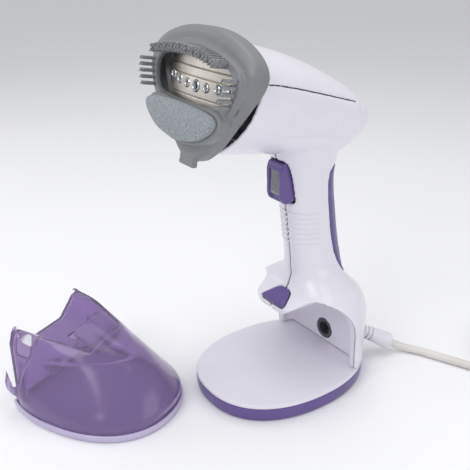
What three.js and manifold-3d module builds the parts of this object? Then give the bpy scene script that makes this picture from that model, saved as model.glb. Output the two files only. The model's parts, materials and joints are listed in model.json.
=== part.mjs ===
// Handheld garment steamer standing on its own base, with its water tank taken out and set down beside it.
// Millimetres, +Z up. The origin is the middle of the base's underside, and the steam head points along -Y.

import * as THREE from 'three';
import Module from 'manifold-3d';
import { mergeVertices } from 'three/addons/utils/BufferGeometryUtils.js';

const wasm = await Module();
wasm.setup();

// ---- driving dimensions ----

const wall = 2.4; // moulded casing
const gap = 0.3; // between pieces that touch
const around = 20; // sides of a casing's rings

const base = { halfWidth: 58.5, halfLength: 76, bandTop: 12, trayTop: 15, floor: 3 };
const bay = {
  floor: 15.3, backY: 48, halfWidth: 43.5, latchHalf: 15, latchZ: 69, rampEnd: 32, ceilingZ: 83,
};
const head = { y: -25, z: 245, tilt: 10, ringBack: 44.3, ringFront: 60 };
const plate = { halfWidth: 43, low: -9, high: 24, front: 58.5, bow: 6, thick: 3 };
const trigger = { halfWidth: 9, low: 161, high: 195, frontY: -14, pinY: -3, pinZ: 198.5 };
const slider = { halfWidth: 5.4, low: 168.5, high: 187.5, travel: 4 };
const button = { frontHalf: 14, rearHalf: 8.5, frontY: -14.6, rearY: 1.5, lowZ: 74.6 };
const latch = { pinY: -2, pinZ: 74.6, pinR: 1.4, hookY: 15 };
const strip = { halfWidth: 18, low: 90, high: 187, corner: 6, proud: 0.4, depth: 1.2 };
const cord = { radius: 3.5, coilRadius: 41.5, coilHalf: 14.3, coilHigh: 14.3, coilAt: [119.6, 204] };
const plugBody = {
  at: [152.9, 143.7, 17.8], way: [0.974, -0.225], radius: 17.6, length: 46, pinReach: 19, pinApart: 9.5, pinR: 2.4,
};
const bush = { root: [16, 73, 26], way: [0.45, 0.77, -0.45], length: 34, rootR: 4.9, endR: 7.6 };
const tank = { x: -68, y: -144, turn: 116, rearY: 46, wall: 2, baseHigh: 6.5, spoutZ: 27 - bay.floor };
const pump = { y: 27, low: 112, high: 156, outerR: 11, boreR: 5 };

const finishes = {
  whiteShell: { color: 0xe2e0e9, roughness: 0.35, metalness: 0 },
  purpleShell: { color: 0x5f4b87, roughness: 0.4, metalness: 0 },
  greyShell: { color: 0x77797d, roughness: 0.5, metalness: 0 },
  bristle: { color: 0x8b8d8f, roughness: 0.6, metalness: 0 },
  velour: { color: 0xa5abaf, roughness: 0.9, metalness: 0 },
  plateCoat: { color: 0xc9c4bc, roughness: 0.35, metalness: 0.5 },
  steel: { color: 0xb9bbbe, roughness: 0.3, metalness: 1 },
  aluminium: { color: 0xa8aaad, roughness: 0.55, metalness: 1 },
  rubber: { color: 0x3c3c40, roughness: 0.85, metalness: 0 },
  silicone: { color: 0xdfdde2, roughness: 0.6, metalness: 0 },
  tankTint: { color: 0x8f78ab, roughness: 0.15, metalness: 0 },
  cordSkin: { color: 0xdad6d2, roughness: 0.55, metalness: 0 },
  darkPlastic: { color: 0x46464c, roughness: 0.5, metalness: 0 },
  wire: { color: 0x9c3b33, roughness: 0.6, metalness: 0 },
};

// ---- shape helpers ----

const radians = THREE.MathUtils.degToRad;
const group = new THREE.Group();

const vector = (x, y, z) => new THREE.Vector3(x, y, z);

// A closed geometry as a manifold solid, with its faces turned outwards.
function solid(geometry) {
  const bare = geometry.clone();
  bare.deleteAttribute('normal');
  bare.deleteAttribute('uv');
  const merged = mergeVertices(bare, 1e-4);
  const spots = merged.attributes.position;
  const index = merged.index.array;
  const corner = [vector(), vector(), vector()];
  const faces = [];
  let volume = 0;
  for (let i = 0; i < index.length; i += 3) {
    const face = [index[i], index[i + 1], index[i + 2]];
    if (new Set(face).size < 3) continue;
    face.forEach((at, k) => corner[k].fromBufferAttribute(spots, at));
    volume += corner[0].dot(corner[1].clone().cross(corner[2]));
    faces.push(face);
  }
  if (volume < 0) faces.forEach((face) => face.reverse());
  const vertProperties = Float32Array.from(spots.array);
  const triVerts = Uint32Array.from(faces.flat());
  return new wasm.Manifold(new wasm.Mesh({ numProp: 3, vertProperties, triVerts }));
}

function join(...bodies) {
  return bodies.reduce((sum, body) => sum.add(body));
}

function cut(body, ...tools) {
  return tools.reduce((rest, tool) => rest.subtract(tool), body);
}

function geometryOf(body) {
  const mesh = body.getMesh();
  const geometry = new THREE.BufferGeometry();
  geometry.setAttribute('position', new THREE.BufferAttribute(mesh.vertProperties, 3));
  geometry.setIndex(new THREE.BufferAttribute(mesh.triVerts, 1));
  geometry.computeVertexNormals();
  return geometry;
}

function part(name, body, finish, place) {
  const mesh = new THREE.Mesh(geometryOf(body), new THREE.MeshStandardMaterial(finishes[finish]));
  mesh.name = name;
  if (place) mesh.applyMatrix4(place);
  group.add(mesh);
  return mesh;
}

function box(x0, x1, y0, y1, z0, z1) {
  const geometry = new THREE.BoxGeometry(x1 - x0, y1 - y0, z1 - z0);
  return solid(geometry.translate((x0 + x1) / 2, (y0 + y1) / 2, (z0 + z1) / 2));
}

// A turned piece between two points: profile is a list of [radius, share of the way], closed on the axis.
function turned(from, to, profile, sides = 14) {
  const axis = to.clone().sub(from);
  const length = axis.length();
  const outline = profile.map(([r, t]) => new THREE.Vector2(r, t * length));
  const geometry = new THREE.LatheGeometry(outline, sides);
  const turn = new THREE.Quaternion().setFromUnitVectors(vector(0, 1, 0), axis.normalize());
  return solid(geometry.applyQuaternion(turn).translate(from.x, from.y, from.z));
}

function rod(from, to, radius, sides = 14) {
  return turned(from, to, [[0, 0], [radius, 0], [radius, 1], [0, 1]], sides);
}

function ring(from, to, outer, inner, sides = 16) {
  return turned(from, to, [[inner, 0], [outer, 0], [outer, 1], [inner, 1], [inner, 0]], sides);
}

// A tube along a smooth curve through the given points.
function tube(points, radius, sides, steps) {
  const curve = new THREE.CatmullRomCurve3(points.map((p) => vector(...p)), false, 'centripetal');
  const section = new THREE.Shape();
  section.absarc(0, 0, radius, 0, Math.PI * 2);
  const settings = { steps, extrudePath: curve, curveSegments: sides / 2, bevelEnabled: false };
  return solid(new THREE.ExtrudeGeometry(section, settings));
}

// A prism of an outline in the XY plane of a frame, from z0 to z1 of that frame.
function prism(shape, z0, z1, frame, curveSegments = 4) {
  const geometry = new THREE.ExtrudeGeometry(shape, { depth: z1 - z0, bevelEnabled: false, curveSegments });
  geometry.translate(0, 0, z0);
  if (frame) geometry.applyMatrix4(frame);
  return solid(geometry);
}

function polygon(points) {
  return new THREE.Shape(points.map(([x, y]) => new THREE.Vector2(x, y)));
}

// A closed skin over a stack of rings. place(ring, angle, reach) gives a point: angle 0 is at the front,
// and reach runs from 0 in the middle of an end cap to 1 on the ring.
function loft(rings, place, sides = around) {
  const geometry = new THREE.CylinderGeometry(1, 1, 1, sides, rings.length - 1);
  const spots = geometry.attributes.position;
  for (let i = 0; i < spots.count; i++) {
    const level = Math.round((spots.getY(i) + 0.5) * (rings.length - 1));
    const angle = Math.atan2(spots.getX(i), spots.getZ(i));
    const reach = Math.hypot(spots.getX(i), spots.getZ(i));
    const point = place(rings[level], angle, reach);
    spots.setXYZ(i, point.x, point.y, point.z);
  }
  return solid(geometry);
}

const squareness = (value, power) => Math.sign(value) * Math.abs(value) ** (2 / power);

// One point of an oval whose front and rear have their own lengths and fullness.
function oval(angle, half, front, rear, frontPower = 2.3, rearPower = 2.1) {
  const ahead = Math.cos(angle) > 0;
  const power = ahead ? frontPower : rearPower;
  const across = half * squareness(Math.sin(angle), power);
  const along = -(ahead ? front : rear) * squareness(Math.cos(angle), power);
  return [across, along];
}

// A closed outline mirrored about its upright axis, through points that run down its right side.
function mirroredOutline(side, inset = 0, count = 26) {
  const left = side.slice(1, -1).reverse().map(([x, y]) => [-x, y]);
  const knots = [...side, ...left].map(([x, y]) => vector(x, y, 0));
  const curve = new THREE.CatmullRomCurve3(knots, true, 'centripetal');
  const points = curve.getSpacedPoints(count).slice(0, -1);
  return polygon(points.map((p, i) => {
    const before = points[(i + points.length - 1) % points.length];
    const after = points[(i + 1) % points.length];
    const along = after.clone().sub(before).normalize();
    return [p.x + along.y * inset, p.y - along.x * inset];
  }));
}

// ---- frames ----

const headOrigin = vector(0, head.y, head.z);
const headAxis = vector(0, -Math.cos(radians(head.tilt)), Math.sin(radians(head.tilt)));
const headUp = vector(0, Math.sin(radians(head.tilt)), Math.cos(radians(head.tilt)));
// x stays x, y runs up the face of the steam head, z runs forward out of it
const headFrame = new THREE.Matrix4().makeBasis(vector(1, 0, 0), headUp, headAxis).setPosition(headOrigin);
// x runs along Y, y runs along Z, z runs along X: for outlines drawn as seen from the side
const sideFrame = new THREE.Matrix4().makeBasis(vector(0, 1, 0), vector(0, 0, 1), vector(1, 0, 0));
// x stays x, y runs along Z, z runs backwards along -Y
const rearFrame = new THREE.Matrix4().makeBasis(vector(1, 0, 0), vector(0, 0, 1), vector(0, -1, 0));

const inHead = (x, u, d) => vector(x, u, d).applyMatrix4(headFrame);

// ---- outer forms of the casing ----

// The column and its shoulder, as level ovals from the tray to the foot of the handle.
function shoulderForm(inset, low = base.trayTop + gap) {
  const rings = [
    { z: low, y: 0, half: 58.3, front: 60, rear: 76 },
    { z: 35, y: 0, half: 58.2, front: 56, rear: 76 },
    { z: 52, y: 8, half: 57, front: 46, rear: 67.4 },
    { z: 62, y: 16, half: 54.5, front: 36, rear: 58.6 },
    { z: 69, y: 20, half: 51.5, front: 34.5, rear: 52.4 },
    { z: 75, y: 22, half: 48.5, front: 36, rear: 47.6 },
    { z: 79, y: 23, half: 45.5, front: 29, rear: 43 },
    { z: 83, y: 24, half: 41, front: 22.6, rear: 37.5 },
    { z: 88, y: 26, half: 34, front: 21.8, rear: 31 },
    { z: 94, y: 28, half: 26, front: 22, rear: 26.4 },
    { z: 102, y: 29, half: 21.2, front: 22.4, rear: 24.8 },
    { z: 112, y: 28, half: 19.6, front: 22.2, rear: 24 },
  ];
  return loft(rings, (r, angle, reach) => {
    const [x, y] = oval(angle, r.half - inset, r.front - inset, r.rear - inset);
    const drop = r.z > 66 && r.z < 100 ? 0.6 * inset : 0;
    return vector(x * reach, r.y + y * reach, r.z - drop);
  });
}

function handleForm(inset) {
  const rings = [
    { z: 98, y: 29.4, half: 20.6, depth: 23.6 },
    { z: 110, y: 28.2, half: 19.5, depth: 23.4 },
    { z: 130, y: 24.7, half: 19, depth: 22.8 },
    { z: 150, y: 21.6, half: 19, depth: 22.4 },
    { z: 168, y: 18.4, half: 19.2, depth: 22.8 },
    { z: 184, y: 16.4, half: 20, depth: 24.4 },
    { z: 200, y: 15.5, half: 23, depth: 29 },
    { z: 216, y: 17, half: 26, depth: 33 },
  ];
  return loft(rings, (r, angle, reach) => {
    const [x, y] = oval(angle, r.half - inset, r.depth - inset, r.depth - inset, 2.2, 2.2);
    return vector(x * reach, r.y + y * reach, r.z);
  });
}

// The barrel: sections square to the steam head's axis, listed from the rear tip forwards.
function barrelForm(inset, front = 44) {
  const rings = [
    { d: -97.5 + inset, top: -2, low: -11, half: 8, taper: 0 },
    { d: -94, top: 1, low: -17.5, half: 16, taper: 0 },
    { d: -85, top: 5.5, low: -28, half: 23.6, taper: 0 },
    { d: -71.5, top: 10.8, low: -36.5, half: 29.6, taper: 0.04 },
    { d: -66.5, top: 15, low: -38, half: 31.4, taper: 0.05 },
    { d: -35, top: 25, low: -40, half: 37.5, taper: 0.1 },
    { d: -7, top: 31.6, low: -40.3, half: 42, taper: 0.17 },
    { d: 20, top: 35.4, low: -40.6, half: 46.2, taper: 0.24 },
    { d: front, top: 37, low: -41, half: 49.6, taper: 0.3 },
  ];
  return loft(rings, (r, angle, reach) => {
    const tall = (r.top - r.low) / 2 - inset;
    const [x, u] = oval(angle, r.half - inset, tall, tall, 2.25, 2.25);
    const widen = 1 + (r.taper * u) / tall - r.taper * 0.45 * (u / tall) ** 2;
    return inHead(x * widen * reach, (r.top + r.low) / 2 + u * reach, r.d);
  });
}

function casingForm(inset) {
  const foot = inset > 0 ? 8 : base.trayTop + gap;
  return join(shoulderForm(inset, foot), handleForm(inset), barrelForm(inset, inset > 0 ? 50 : 44));
}

// ---- the bay that takes the tank ----

const ceiling = (x) => {
  const share = THREE.MathUtils.clamp((Math.abs(x) - bay.latchHalf) / (bay.rampEnd - bay.latchHalf), 0, 1);
  return bay.latchZ + share * (bay.ceilingZ - bay.latchZ);
};

// Everything in front of the side arches, below the ceiling. grow takes the surface outwards.
function archForm(grow) {
  const stations = [-75, -44, -bay.rampEnd, -bay.latchHalf, bay.latchHalf, bay.rampEnd, 44, 75];
  const low = bay.floor - gap - grow - 1;
  const outline = (x) => {
    const high = ceiling(x);
    const at = (share) => low + share * (high - low);
    const slope = [[37.5, low], [34.5, at(0.5)], [31, at(0.68)], [25, at(0.82)], [15, at(0.94)], [3, high]];
    return [...slope, [-130, high], [-130, low]].map(([y, z]) => [y + grow, z > low ? z + grow : z]);
  };
  return ribbonSolid(stations, outline);
}

// The straight-backed pocket inside the arches.
function pocketForm(grow) {
  const edge = bay.halfWidth + grow;
  const stations = [-edge, -bay.rampEnd, -bay.latchHalf, bay.latchHalf, bay.rampEnd, edge];
  const low = bay.floor - gap - grow - 1;
  const outline = (x) => {
    const high = ceiling(x) - 1 + grow;
    return [[bay.backY + grow, low], [bay.backY + grow, high], [-30, high], [-30, low]];
  };
  return ribbonSolid(stations, outline);
}

// A solid through side-view outlines of [y, z] points at several x, all with the same number of points.
function ribbonSolid(stations, outline) {
  const sides = outline(0).length;
  const rings = stations.map((x) => ({ x, points: outline(x).map(([y, z]) => vector(x, y, z)) }));
  const spots = rings.flatMap((r) => r.points);
  const faces = [];
  for (let s = 0; s < stations.length - 1; s++) {
    for (let i = 0; i < sides; i++) {
      const j = (i + 1) % sides;
      faces.push([s * sides + i, s * sides + j, (s + 1) * sides + i]);
      faces.push([s * sides + j, (s + 1) * sides + j, (s + 1) * sides + i]);
    }
  }
  const flat = rings[0].points.map((p) => new THREE.Vector2(p.y, p.z));
  const last = (stations.length - 1) * sides;
  for (const [a, b, c] of THREE.ShapeUtils.triangulateShape(flat, [])) {
    faces.push([a, c, b]);
    faces.push([last + a, last + b, last + c]);
  }
  const geometry = new THREE.BufferGeometry().setFromPoints(spots);
  geometry.setIndex(faces.flat());
  return solid(geometry);
}

// ---- casing pieces ----

// The strip wraps round the handle's back: a rounded panel seen from behind, cut off in front by a
// plane that leans with the handle.
function stripPrism(grow) {
  const half = strip.halfWidth + grow;
  const low = strip.low - grow;
  const high = strip.high + grow;
  const r = strip.corner;
  const outline = new THREE.Shape();
  outline.absarc(half - r, high - r, r, 0, Math.PI / 2);
  outline.absarc(r - half, high - r, r, Math.PI / 2, Math.PI);
  outline.absarc(r - half, low + r, r, Math.PI, Math.PI * 1.5);
  outline.absarc(half - r, low + r, r, Math.PI * 1.5, Math.PI * 2);
  const behind = [[35.5 - grow, 80], [90, 80], [90, 200], [17.4 - grow, 200]];
  return prism(outline, -90, 0, rearFrame).intersect(prism(polygon(behind), -40, 40, sideFrame));
}

// Side-view outline of the top cover, in the steam head's own frame: [d, u].
function coverPrism(grow) {
  const seam = [
    [60, 15.4 - grow], [28, 14.8 - grow], [-16, 10.4 - grow],
    [-68 - grow, 4 - grow], [-68 - grow, 50], [60, 60],
  ];
  const frame = new THREE.Matrix4().makeBasis(headAxis, headUp, vector(-1, 0, 0)).setPosition(headOrigin);
  return prism(polygon(seam), -80, 80, frame);
}

function buttonPrism(grow) {
  const front = button.frontHalf + grow;
  const rear = button.rearHalf + grow;
  const ahead = button.frontY - 6;
  const back = button.rearY + grow;
  const outline = [
    [-front, ahead], [front, ahead], [front, -11], [rear, back - 2.5],
    [rear - 3, back], [3 - rear, back], [-rear, back - 2.5], [-front, -11],
  ];
  return prism(polygon(outline), button.lowZ - 3.5 * grow, 95);
}

const bushWay = vector(...bush.way).normalize();
const bushRoot = vector(...bush.root);
const alongBush = (distance) => bushRoot.clone().addScaledVector(bushWay, distance);

// Screw posts that tie the two halves together: [y, z, half width inside the casing].
const posts = [[45, 101, 9], [31, 172, 12], [-52, 218, 28], [50, 210, 18]];

const alongPin = (x) => vector(x, trigger.pinY, trigger.pinZ);

function casingShell() {
  const outer = casingForm(0);
  let shell = cut(outer, casingForm(wall));
  for (const [y, z, half] of posts) {
    const post = rod(vector(-half - 8, y, z), vector(half + 8, y, z), 3.6, 12);
    shell = join(shell, post.intersect(casingForm(wall / 2)));
  }
  const ribs = join(box(-20, 20, 9.8, 11.8, 163, 171), box(-42, 42, 10, 18, 84.4, 86.2));
  shell = join(shell, ribs.intersect(casingForm(wall / 2)));
  for (const side of [-1, 1]) {
    const boss = rod(alongPin(side * 11), alongPin(side * 30), 3.4, 12);
    shell = join(shell, boss.intersect(casingForm(wall / 2)));
  }
  shell = cut(shell, archForm(0), pocketForm(gap + wall).intersect(shoulderForm(wall)));
  const slotHalf = trigger.halfWidth + 0.5;
  const slot = box(-slotHalf, slotHalf, -30, 12, trigger.low - 1, trigger.high + 0.6);
  shell = cut(shell, slot, buttonPrism(0.4), cut(stripPrism(gap), casingForm(strip.depth + gap)));
  shell = cut(shell, rod(alongBush(-20), alongBush(20), bush.rootR + 1.5, 16));
  const pin = rod(alongPin(-20), alongPin(20), 1.5 + gap / 2, 12);
  return cut(shell, pin, ...posts.map(([y, z, half]) => screwHole(y, z, half)));
}

function screwHole(y, z, half) {
  return join(
    rod(vector(-half - 12, y, z), vector(-9, y, z), 3.1, 12),
    rod(vector(-10, y, z), vector(10, y, z), 1.8, 12),
  );
}

function housings() {
  const shell = casingShell();
  const halves = cut(shell, coverPrism(gap));
  part('left_housing', cut(halves, box(-gap / 2, 90, -150, 150, -10, 330)), 'whiteShell');
  part('right_housing', cut(halves, box(-90, gap / 2, -150, 150, -10, 330)), 'whiteShell');
  part('top_cover', shell.intersect(coverPrism(0)), 'whiteShell');
  const band = cut(casingForm(-strip.proud), casingForm(strip.depth));
  part('handle_strip', band.intersect(stripPrism(0)), 'purpleShell');
  posts.forEach(([y, z], i) => part(`housing_screw_${i + 1}`, join(
    rod(vector(-12.6, y, z), vector(-10.4, y, z), 2.8, 12),
    rod(vector(-10.6, y, z), vector(9, y, z), 1.5, 10),
  ), 'steel'));
}

const alongLatch = (x) => vector(x, latch.pinY, latch.pinZ);

// The inner panel of the bay: back wall, ceiling and the inside of both cheeks.
function bayLiner() {
  const skin = wall + gap;
  const room = join(archForm(wall), pocketForm(wall)).intersect(shoulderForm(skin));
  const pocket = pocketForm(0).intersect(shoulderForm(skin + wall, 8));
  const latchHole = box(-6, 6, latch.hookY - 3, latch.hookY + 3.4, 60, 80);
  const socketHole = rod(vector(0, 40, 27), vector(0, 60, 27), 9.4, 20);
  const ears = [-9.5, 9.5].map((x) => (
    box(x - 1.5, x + 1.5, latch.pinY - 2.4, latch.pinY + 2.4, 70, latch.pinZ + 1.4)));
  const pin = rod(alongLatch(-13), alongLatch(13), latch.pinR + 0.2, 12);
  const liner = cut(room, archForm(0), pocket, latchHole, socketHole);
  part('bay_liner', cut(join(liner, ...ears), pin), 'whiteShell');
}

function baseParts() {
  const level = (inset) => (r, angle, reach) => {
    const less = r.inset + inset;
    const [x, y] = oval(angle, base.halfWidth - less, base.halfLength - less, base.halfLength - less);
    return vector(x * reach, y * reach, r.z);
  };
  const bandRings = [
    { z: 0, inset: 2.4 },
    { z: 2, inset: 0.9 },
    { z: 6, inset: 0.2 },
    { z: base.bandTop, inset: 0 },
  ];
  const hollow = [{ z: base.floor, inset: 0 }, { z: base.bandTop + 4, inset: 0 }];
  const spots = [[34, -40], [-34, -40], [34, 44], [-34, 44]];
  const pad = (x, y, low, high, radius) => rod(vector(x, y, low), vector(x, y, high), radius, 20);
  const pockets = spots.map(([x, y]) => pad(x, y, -1, 2, 6.4));
  const bosses = [[0, -58], [44, 10], [-44, 10]];
  const holes = bosses.map(([x, y]) => join(
    rod(vector(x, y, -1), vector(x, y, 1.9), 3.4, 12), rod(vector(x, y, 1), vector(x, y, 4), 1.8, 12)));
  const band = cut(loft(bandRings, level(0)), loft(hollow, level(2.8)), ...pockets, ...holes);
  part('base_band', band, 'purpleShell');
  spots.forEach(([x, y], i) => part(`foot_${i + 1}`, pad(x, y, 0, 1.7, 6), 'rubber'));
  const trayRings = [
    { z: base.bandTop + gap, inset: 0.1 },
    { z: 13.8, inset: 0.1 },
    { z: 14.6, inset: 0.6 },
    { z: base.trayTop, inset: 1.7 },
  ];
  const legs = bosses.map(([x, y]) => rod(vector(x, y, base.floor + gap), vector(x, y, 13), 3.8, 12));
  const bores = bosses.map(([x, y]) => rod(vector(x, y, 2), vector(x, y, 12.6), 1.7, 12));
  part('base_tray', cut(join(loft(trayRings, level(0)), ...legs), ...bores), 'whiteShell');
  bosses.forEach(([x, y], i) => part(`base_screw_${i + 1}`, join(
    rod(vector(x, y, 0.2), vector(x, y, 1.6), 3, 12),
    rod(vector(x, y, 1.5), vector(x, y, 11.8), 1.4, 10)), 'steel'));
}

// ---- steam head ----

// Right sides of the face's outlines, from the top down: collar, raised rim, steam window and lint pad.
const ringSide = [
  [0, 44], [20, 42.6], [38, 38], [52, 31], [60, 22], [58.6, 12],
  [50, 0], [38, -15], [25, -31], [11, -42.6], [0, -45.6],
];
const rimSide = [
  [0, 33.6], [20, 31.4], [36, 27.4], [49.4, 21.6], [53.4, 13], [50.4, 3], [43.6, -7], [30, -14], [0, -15.5],
];
const windowSide = [[0, 23.6], [22, 23], [38, 21], [45, 14], [44.6, 4], [38.6, -3.4], [20, -5.4], [0, -5.8]];
const padSide = [[0, -5.4], [26, -6.4], [38, -8.6], [41.4, -13], [36, -20], [22, -27.4], [0, -30.6]];

function curvedPlate(halfWidth, low, high, front, thick) {
  const geometry = new THREE.BoxGeometry(2 * halfWidth, high - low, thick, 8, 1, 1);
  const spots = geometry.attributes.position;
  for (let i = 0; i < spots.count; i++) {
    const bow = plate.bow * (spots.getX(i) / plate.halfWidth) ** 2;
    spots.setXYZ(i, spots.getX(i), spots.getY(i) + (low + high) / 2, spots.getZ(i) + front - thick / 2 - bow);
  }
  return solid(geometry.applyMatrix4(headFrame));
}

const nozzleX = [-3, -2, -1, 0, 1, 2, 3].map((step) => step * 11.2);
const nozzleR = (x) => (x === 0 ? 3.4 : 2.5);
const plateFront = (x) => plate.front - plate.bow * (x / plate.halfWidth) ** 2;

function steamHead() {
  const collar = (inset, d0, d1) => prism(mirroredOutline(ringSide, inset), d0, d1, headFrame);
  part('nozzle_frame', cut(collar(5.4, head.ringBack, 53.4), collar(9, 40, 60)), 'greyShell');

  const blank = curvedPlate(plate.halfWidth, plate.low, plate.high, plate.front, plate.thick);
  const body = blank.intersect(collar(9.3, 40, 70));
  // each step: its lower edge, its depth and its upper edge
  const steps = [[-12, 0.7, -2.5], [10.5, 0.7, 16.5], [16.5, 1.4, 27]];
  const grooves = steps.map(([low, deep, high]) => (
    curvedPlate(plate.halfWidth, low, high, plate.front + 5, 5 + deep)));
  const holes = nozzleX.map((x) => rod(inHead(x, 5, 40), inHead(x, 5, 64), nozzleR(x) + 0.3, 8));
  part('steam_plate', cut(body, ...grooves, ...holes), 'plateCoat');
  const bosses = nozzleX.map((x) => (
    rod(inHead(x, 5, 47.4), inHead(x, 5, plateFront(x) + 0.4), nozzleR(x), 8)));
  const jets = nozzleX.map((x) => rod(inHead(x, 5, 40), inHead(x, 5, 64), nozzleR(x) - 1.1, 6));
  const backing = prism(polygon([[-38, 1], [38, 1], [38, 9], [-38, 9]]), 47, 48.4, headFrame);
  part('nozzle_strip', cut(join(backing, ...bosses), ...jets), 'steel');

  const gasket = cut(
    prism(polygon([[-39, -10], [39, -10], [39, 21], [-39, 21]]), 44.4, 46.6, headFrame),
    prism(polygon([[-30, -5], [30, -5], [30, 17], [-30, 17]]), 40, 50, headFrame));
  part('boiler_gasket', gasket.intersect(collar(9.4, 40, 50)), 'silicone');
  const blockShape = polygon([[-36, -14], [36, -14], [37, 16], [30, 23], [-30, 23], [-37, 16]]);
  const block = cut(prism(blockShape, 12, 44.1, headFrame),
    prism(polygon([[-29, -4], [29, -4], [29, 15], [-29, 15]]), 24, 50, headFrame),
    rod(inHead(0, 4, 5), inHead(0, 4, 30), 2.2, 12),
    ...screwSpots.map(([x, u]) => rod(inHead(x, u, 10), inHead(x, u, 23), 1.8, 10)));
  part('boiler_block', block, 'aluminium');
  const coverShape = polygon([[-37, -13], [37, -13], [37, 17], [29, 22], [-29, 22], [-37, 17]]);
  const cover = cut(prism(coverShape, 8.7, 11.7, headFrame),
    rod(inHead(0, 4, 5), inHead(0, 4, 30), 4.4, 14),
    ...screwSpots.map(([x, u]) => rod(inHead(x, u, 5), inHead(x, u, 14), 1.8, 10)));
  part('boiler_cover', cover, 'aluminium');
  screwSpots.forEach(([x, u], i) => part(`boiler_screw_${i + 1}`, join(
    rod(inHead(x, u, 6.4), inHead(x, u, 8.4), 3, 12),
    rod(inHead(x, u, 8.2), inHead(x, u, 21), 1.5, 10)), 'steel'));
  part('thermostat', join(
    rod(inHead(-14, 24.3, 30), inHead(-14, 28.4, 30), 6.6, 20),
    prism(polygon([[-20, 28.2], [-8, 28.2], [-8, 29.8], [-20, 29.8]]), 27, 33, headFrame)), 'steel');
  part('thermal_fuse', join(
    rod(inHead(8, 26.8, 30), inHead(22, 26.8, 30), 2.2, 12),
    rod(inHead(3, 26.8, 30), inHead(27, 26.8, 30), 0.8, 8)), 'steel');
}

const screwSpots = [[-33, -9], [33, -9]];

// The clip-on brush: a hollow collar with a window, a raised rim, comb teeth and a lint pad.
function brush() {
  const shape = (inset, z0, z1) => prism(mirroredOutline(ringSide, inset), z0, z1, headFrame);
  const collar = join(shape(0, head.ringBack + 2, 58.6), shape(1.4, 58.5, head.ringFront));
  const hollow = prism(mirroredOutline(ringSide, 4.8), head.ringBack, 54, headFrame);
  const opening = prism(mirroredOutline(windowSide), 50, 70, headFrame);
  const cavity = prism(mirroredOutline(rimSide, 0.6), 50, 58.9, headFrame);
  const rim = prism(mirroredOutline(rimSide), 59, 63, headFrame);
  const bar = prism(mirroredOutline(padSide, -2.4), 59, 67.6, headFrame);
  const tab = prism(polygon([[-8, -41], [8, -41], [9, -49], [-9, -49]]), 55, 59.4, headFrame);
  const frame = join(cut(join(collar, rim), hollow, cavity, opening), cut(bar, opening), tab);
  part('brush_frame', frame, 'greyShell');
  const pile = join(
    prism(mirroredOutline(padSide), 67.9, 70.4, headFrame),
    prism(mirroredOutline(padSide, 1.8), 70.3, 72.4, headFrame));
  part('lint_pad', pile, 'velour');
  const below = prism(polygon([[-60, -20], [60, -20], [60, -2.6], [-60, -2.6]]), 60, 70, headFrame);
  const bed = cut(prism(mirroredOutline(rimSide, 0.9), 63.3, 64.3, headFrame), opening, below);
  part('comb_strip', join(bed, ...teeth()), 'bristle');
}

// Short stiff teeth in one row along the top of the window and down both ends of it.
function teeth() {
  const rows = [];
  for (let i = -7; i <= 7; i++) {
    const x = i * 5.2;
    rows.push([x, 28.4 - 4.6 * (x / 37) ** 2, 1.1, 2.6, 11.4]);
  }
  for (const side of [-1, 1]) {
    for (let i = 0; i < 4; i++) rows.push([side * (49.4 - 0.44 * i * i), 15.6 - i * 5.2, 1.5, 1.3, 11]);
  }
  return rows.map(([x, u, wide, tall, long]) => {
    const corners = [[x - wide, u - tall], [x + wide, u - tall], [x + wide, u + tall], [x - wide, u + tall]];
    return prism(polygon(corners), 63.3, 63.3 + long, headFrame);
  });
}

// ---- water circuit and electrics ----

function pumpAndHoses() {
  const axis = (z) => vector(0, pump.y, z);
  const can = rod(axis(pump.low), axis(pump.high), pump.outerR, 18);
  const bore = rod(axis(pump.low + 4), axis(pump.high - 3), pump.boreR, 12);
  const ports = rod(axis(pump.low - 1), axis(pump.high + 1), 1.6, 8);
  part('pump_body', cut(can, bore, ports), 'darkPlastic');
  part('pump_plunger', rod(axis(pump.low + 16), axis(pump.low + 38), pump.boreR - 0.4, 16), 'steel');
  part('pump_spring', coil(axis(pump.low + 4.6), axis(pump.low + 15.6), 3.6, 0.55, 4), 'steel');
  const riser = [[0, 54, 41.4], [0, 55, 52], [0, 55, 66], [0, 48, 82], [0, 33, 96], [0, pump.y, pump.low - 1]];
  part('inlet_hose', tube(riser, 2.4, 6, 14), 'silicone');
  const feed = [
    [0, pump.y, pump.high + 0.4], [0, 24.4, 172], [0, 24, 196], [0, 12, 222],
    [0, -8, 240], [0, -24, 247.6], [0, -33.4, 249.6],
  ];
  part('outlet_hose', tube(feed, 2.4, 6, 16), 'silicone');
  part('tank_socket', join(
    cut(rod(vector(0, 48.4, 27), vector(0, 58, 27), 9, 20), rod(vector(0, 40, 27), vector(0, 56, 27), 6.2, 16)),
    ring(vector(0, 50.8, 27), vector(0, 52, 27), 11.6, 8.8, 20),
    rod(vector(0, 54, 35), vector(0, 54, 41), 3.2, 12)), 'darkPlastic');
  part('socket_seal', ring(vector(0, 53, 27), vector(0, 55.6, 27), 5.9, 4.4, 16), 'rubber');
}

// A wound spring, as a tube along a helix.
function coil(from, to, radius, wire, turns) {
  const axis = to.clone().sub(from);
  const turn = new THREE.Quaternion().setFromUnitVectors(vector(0, 0, 1), axis.clone().normalize());
  const points = [];
  const steps = turns * 6;
  for (let i = 0; i <= steps; i++) {
    const angle = (i / 6) * Math.PI * 2;
    const along = wire + (i / steps) * (axis.length() - 2 * wire);
    const spot = vector(radius * Math.cos(angle), radius * Math.sin(angle), along);
    points.push(spot.applyQuaternion(turn).add(from).toArray());
  }
  return tube(points, wire, 4, steps);
}

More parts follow.
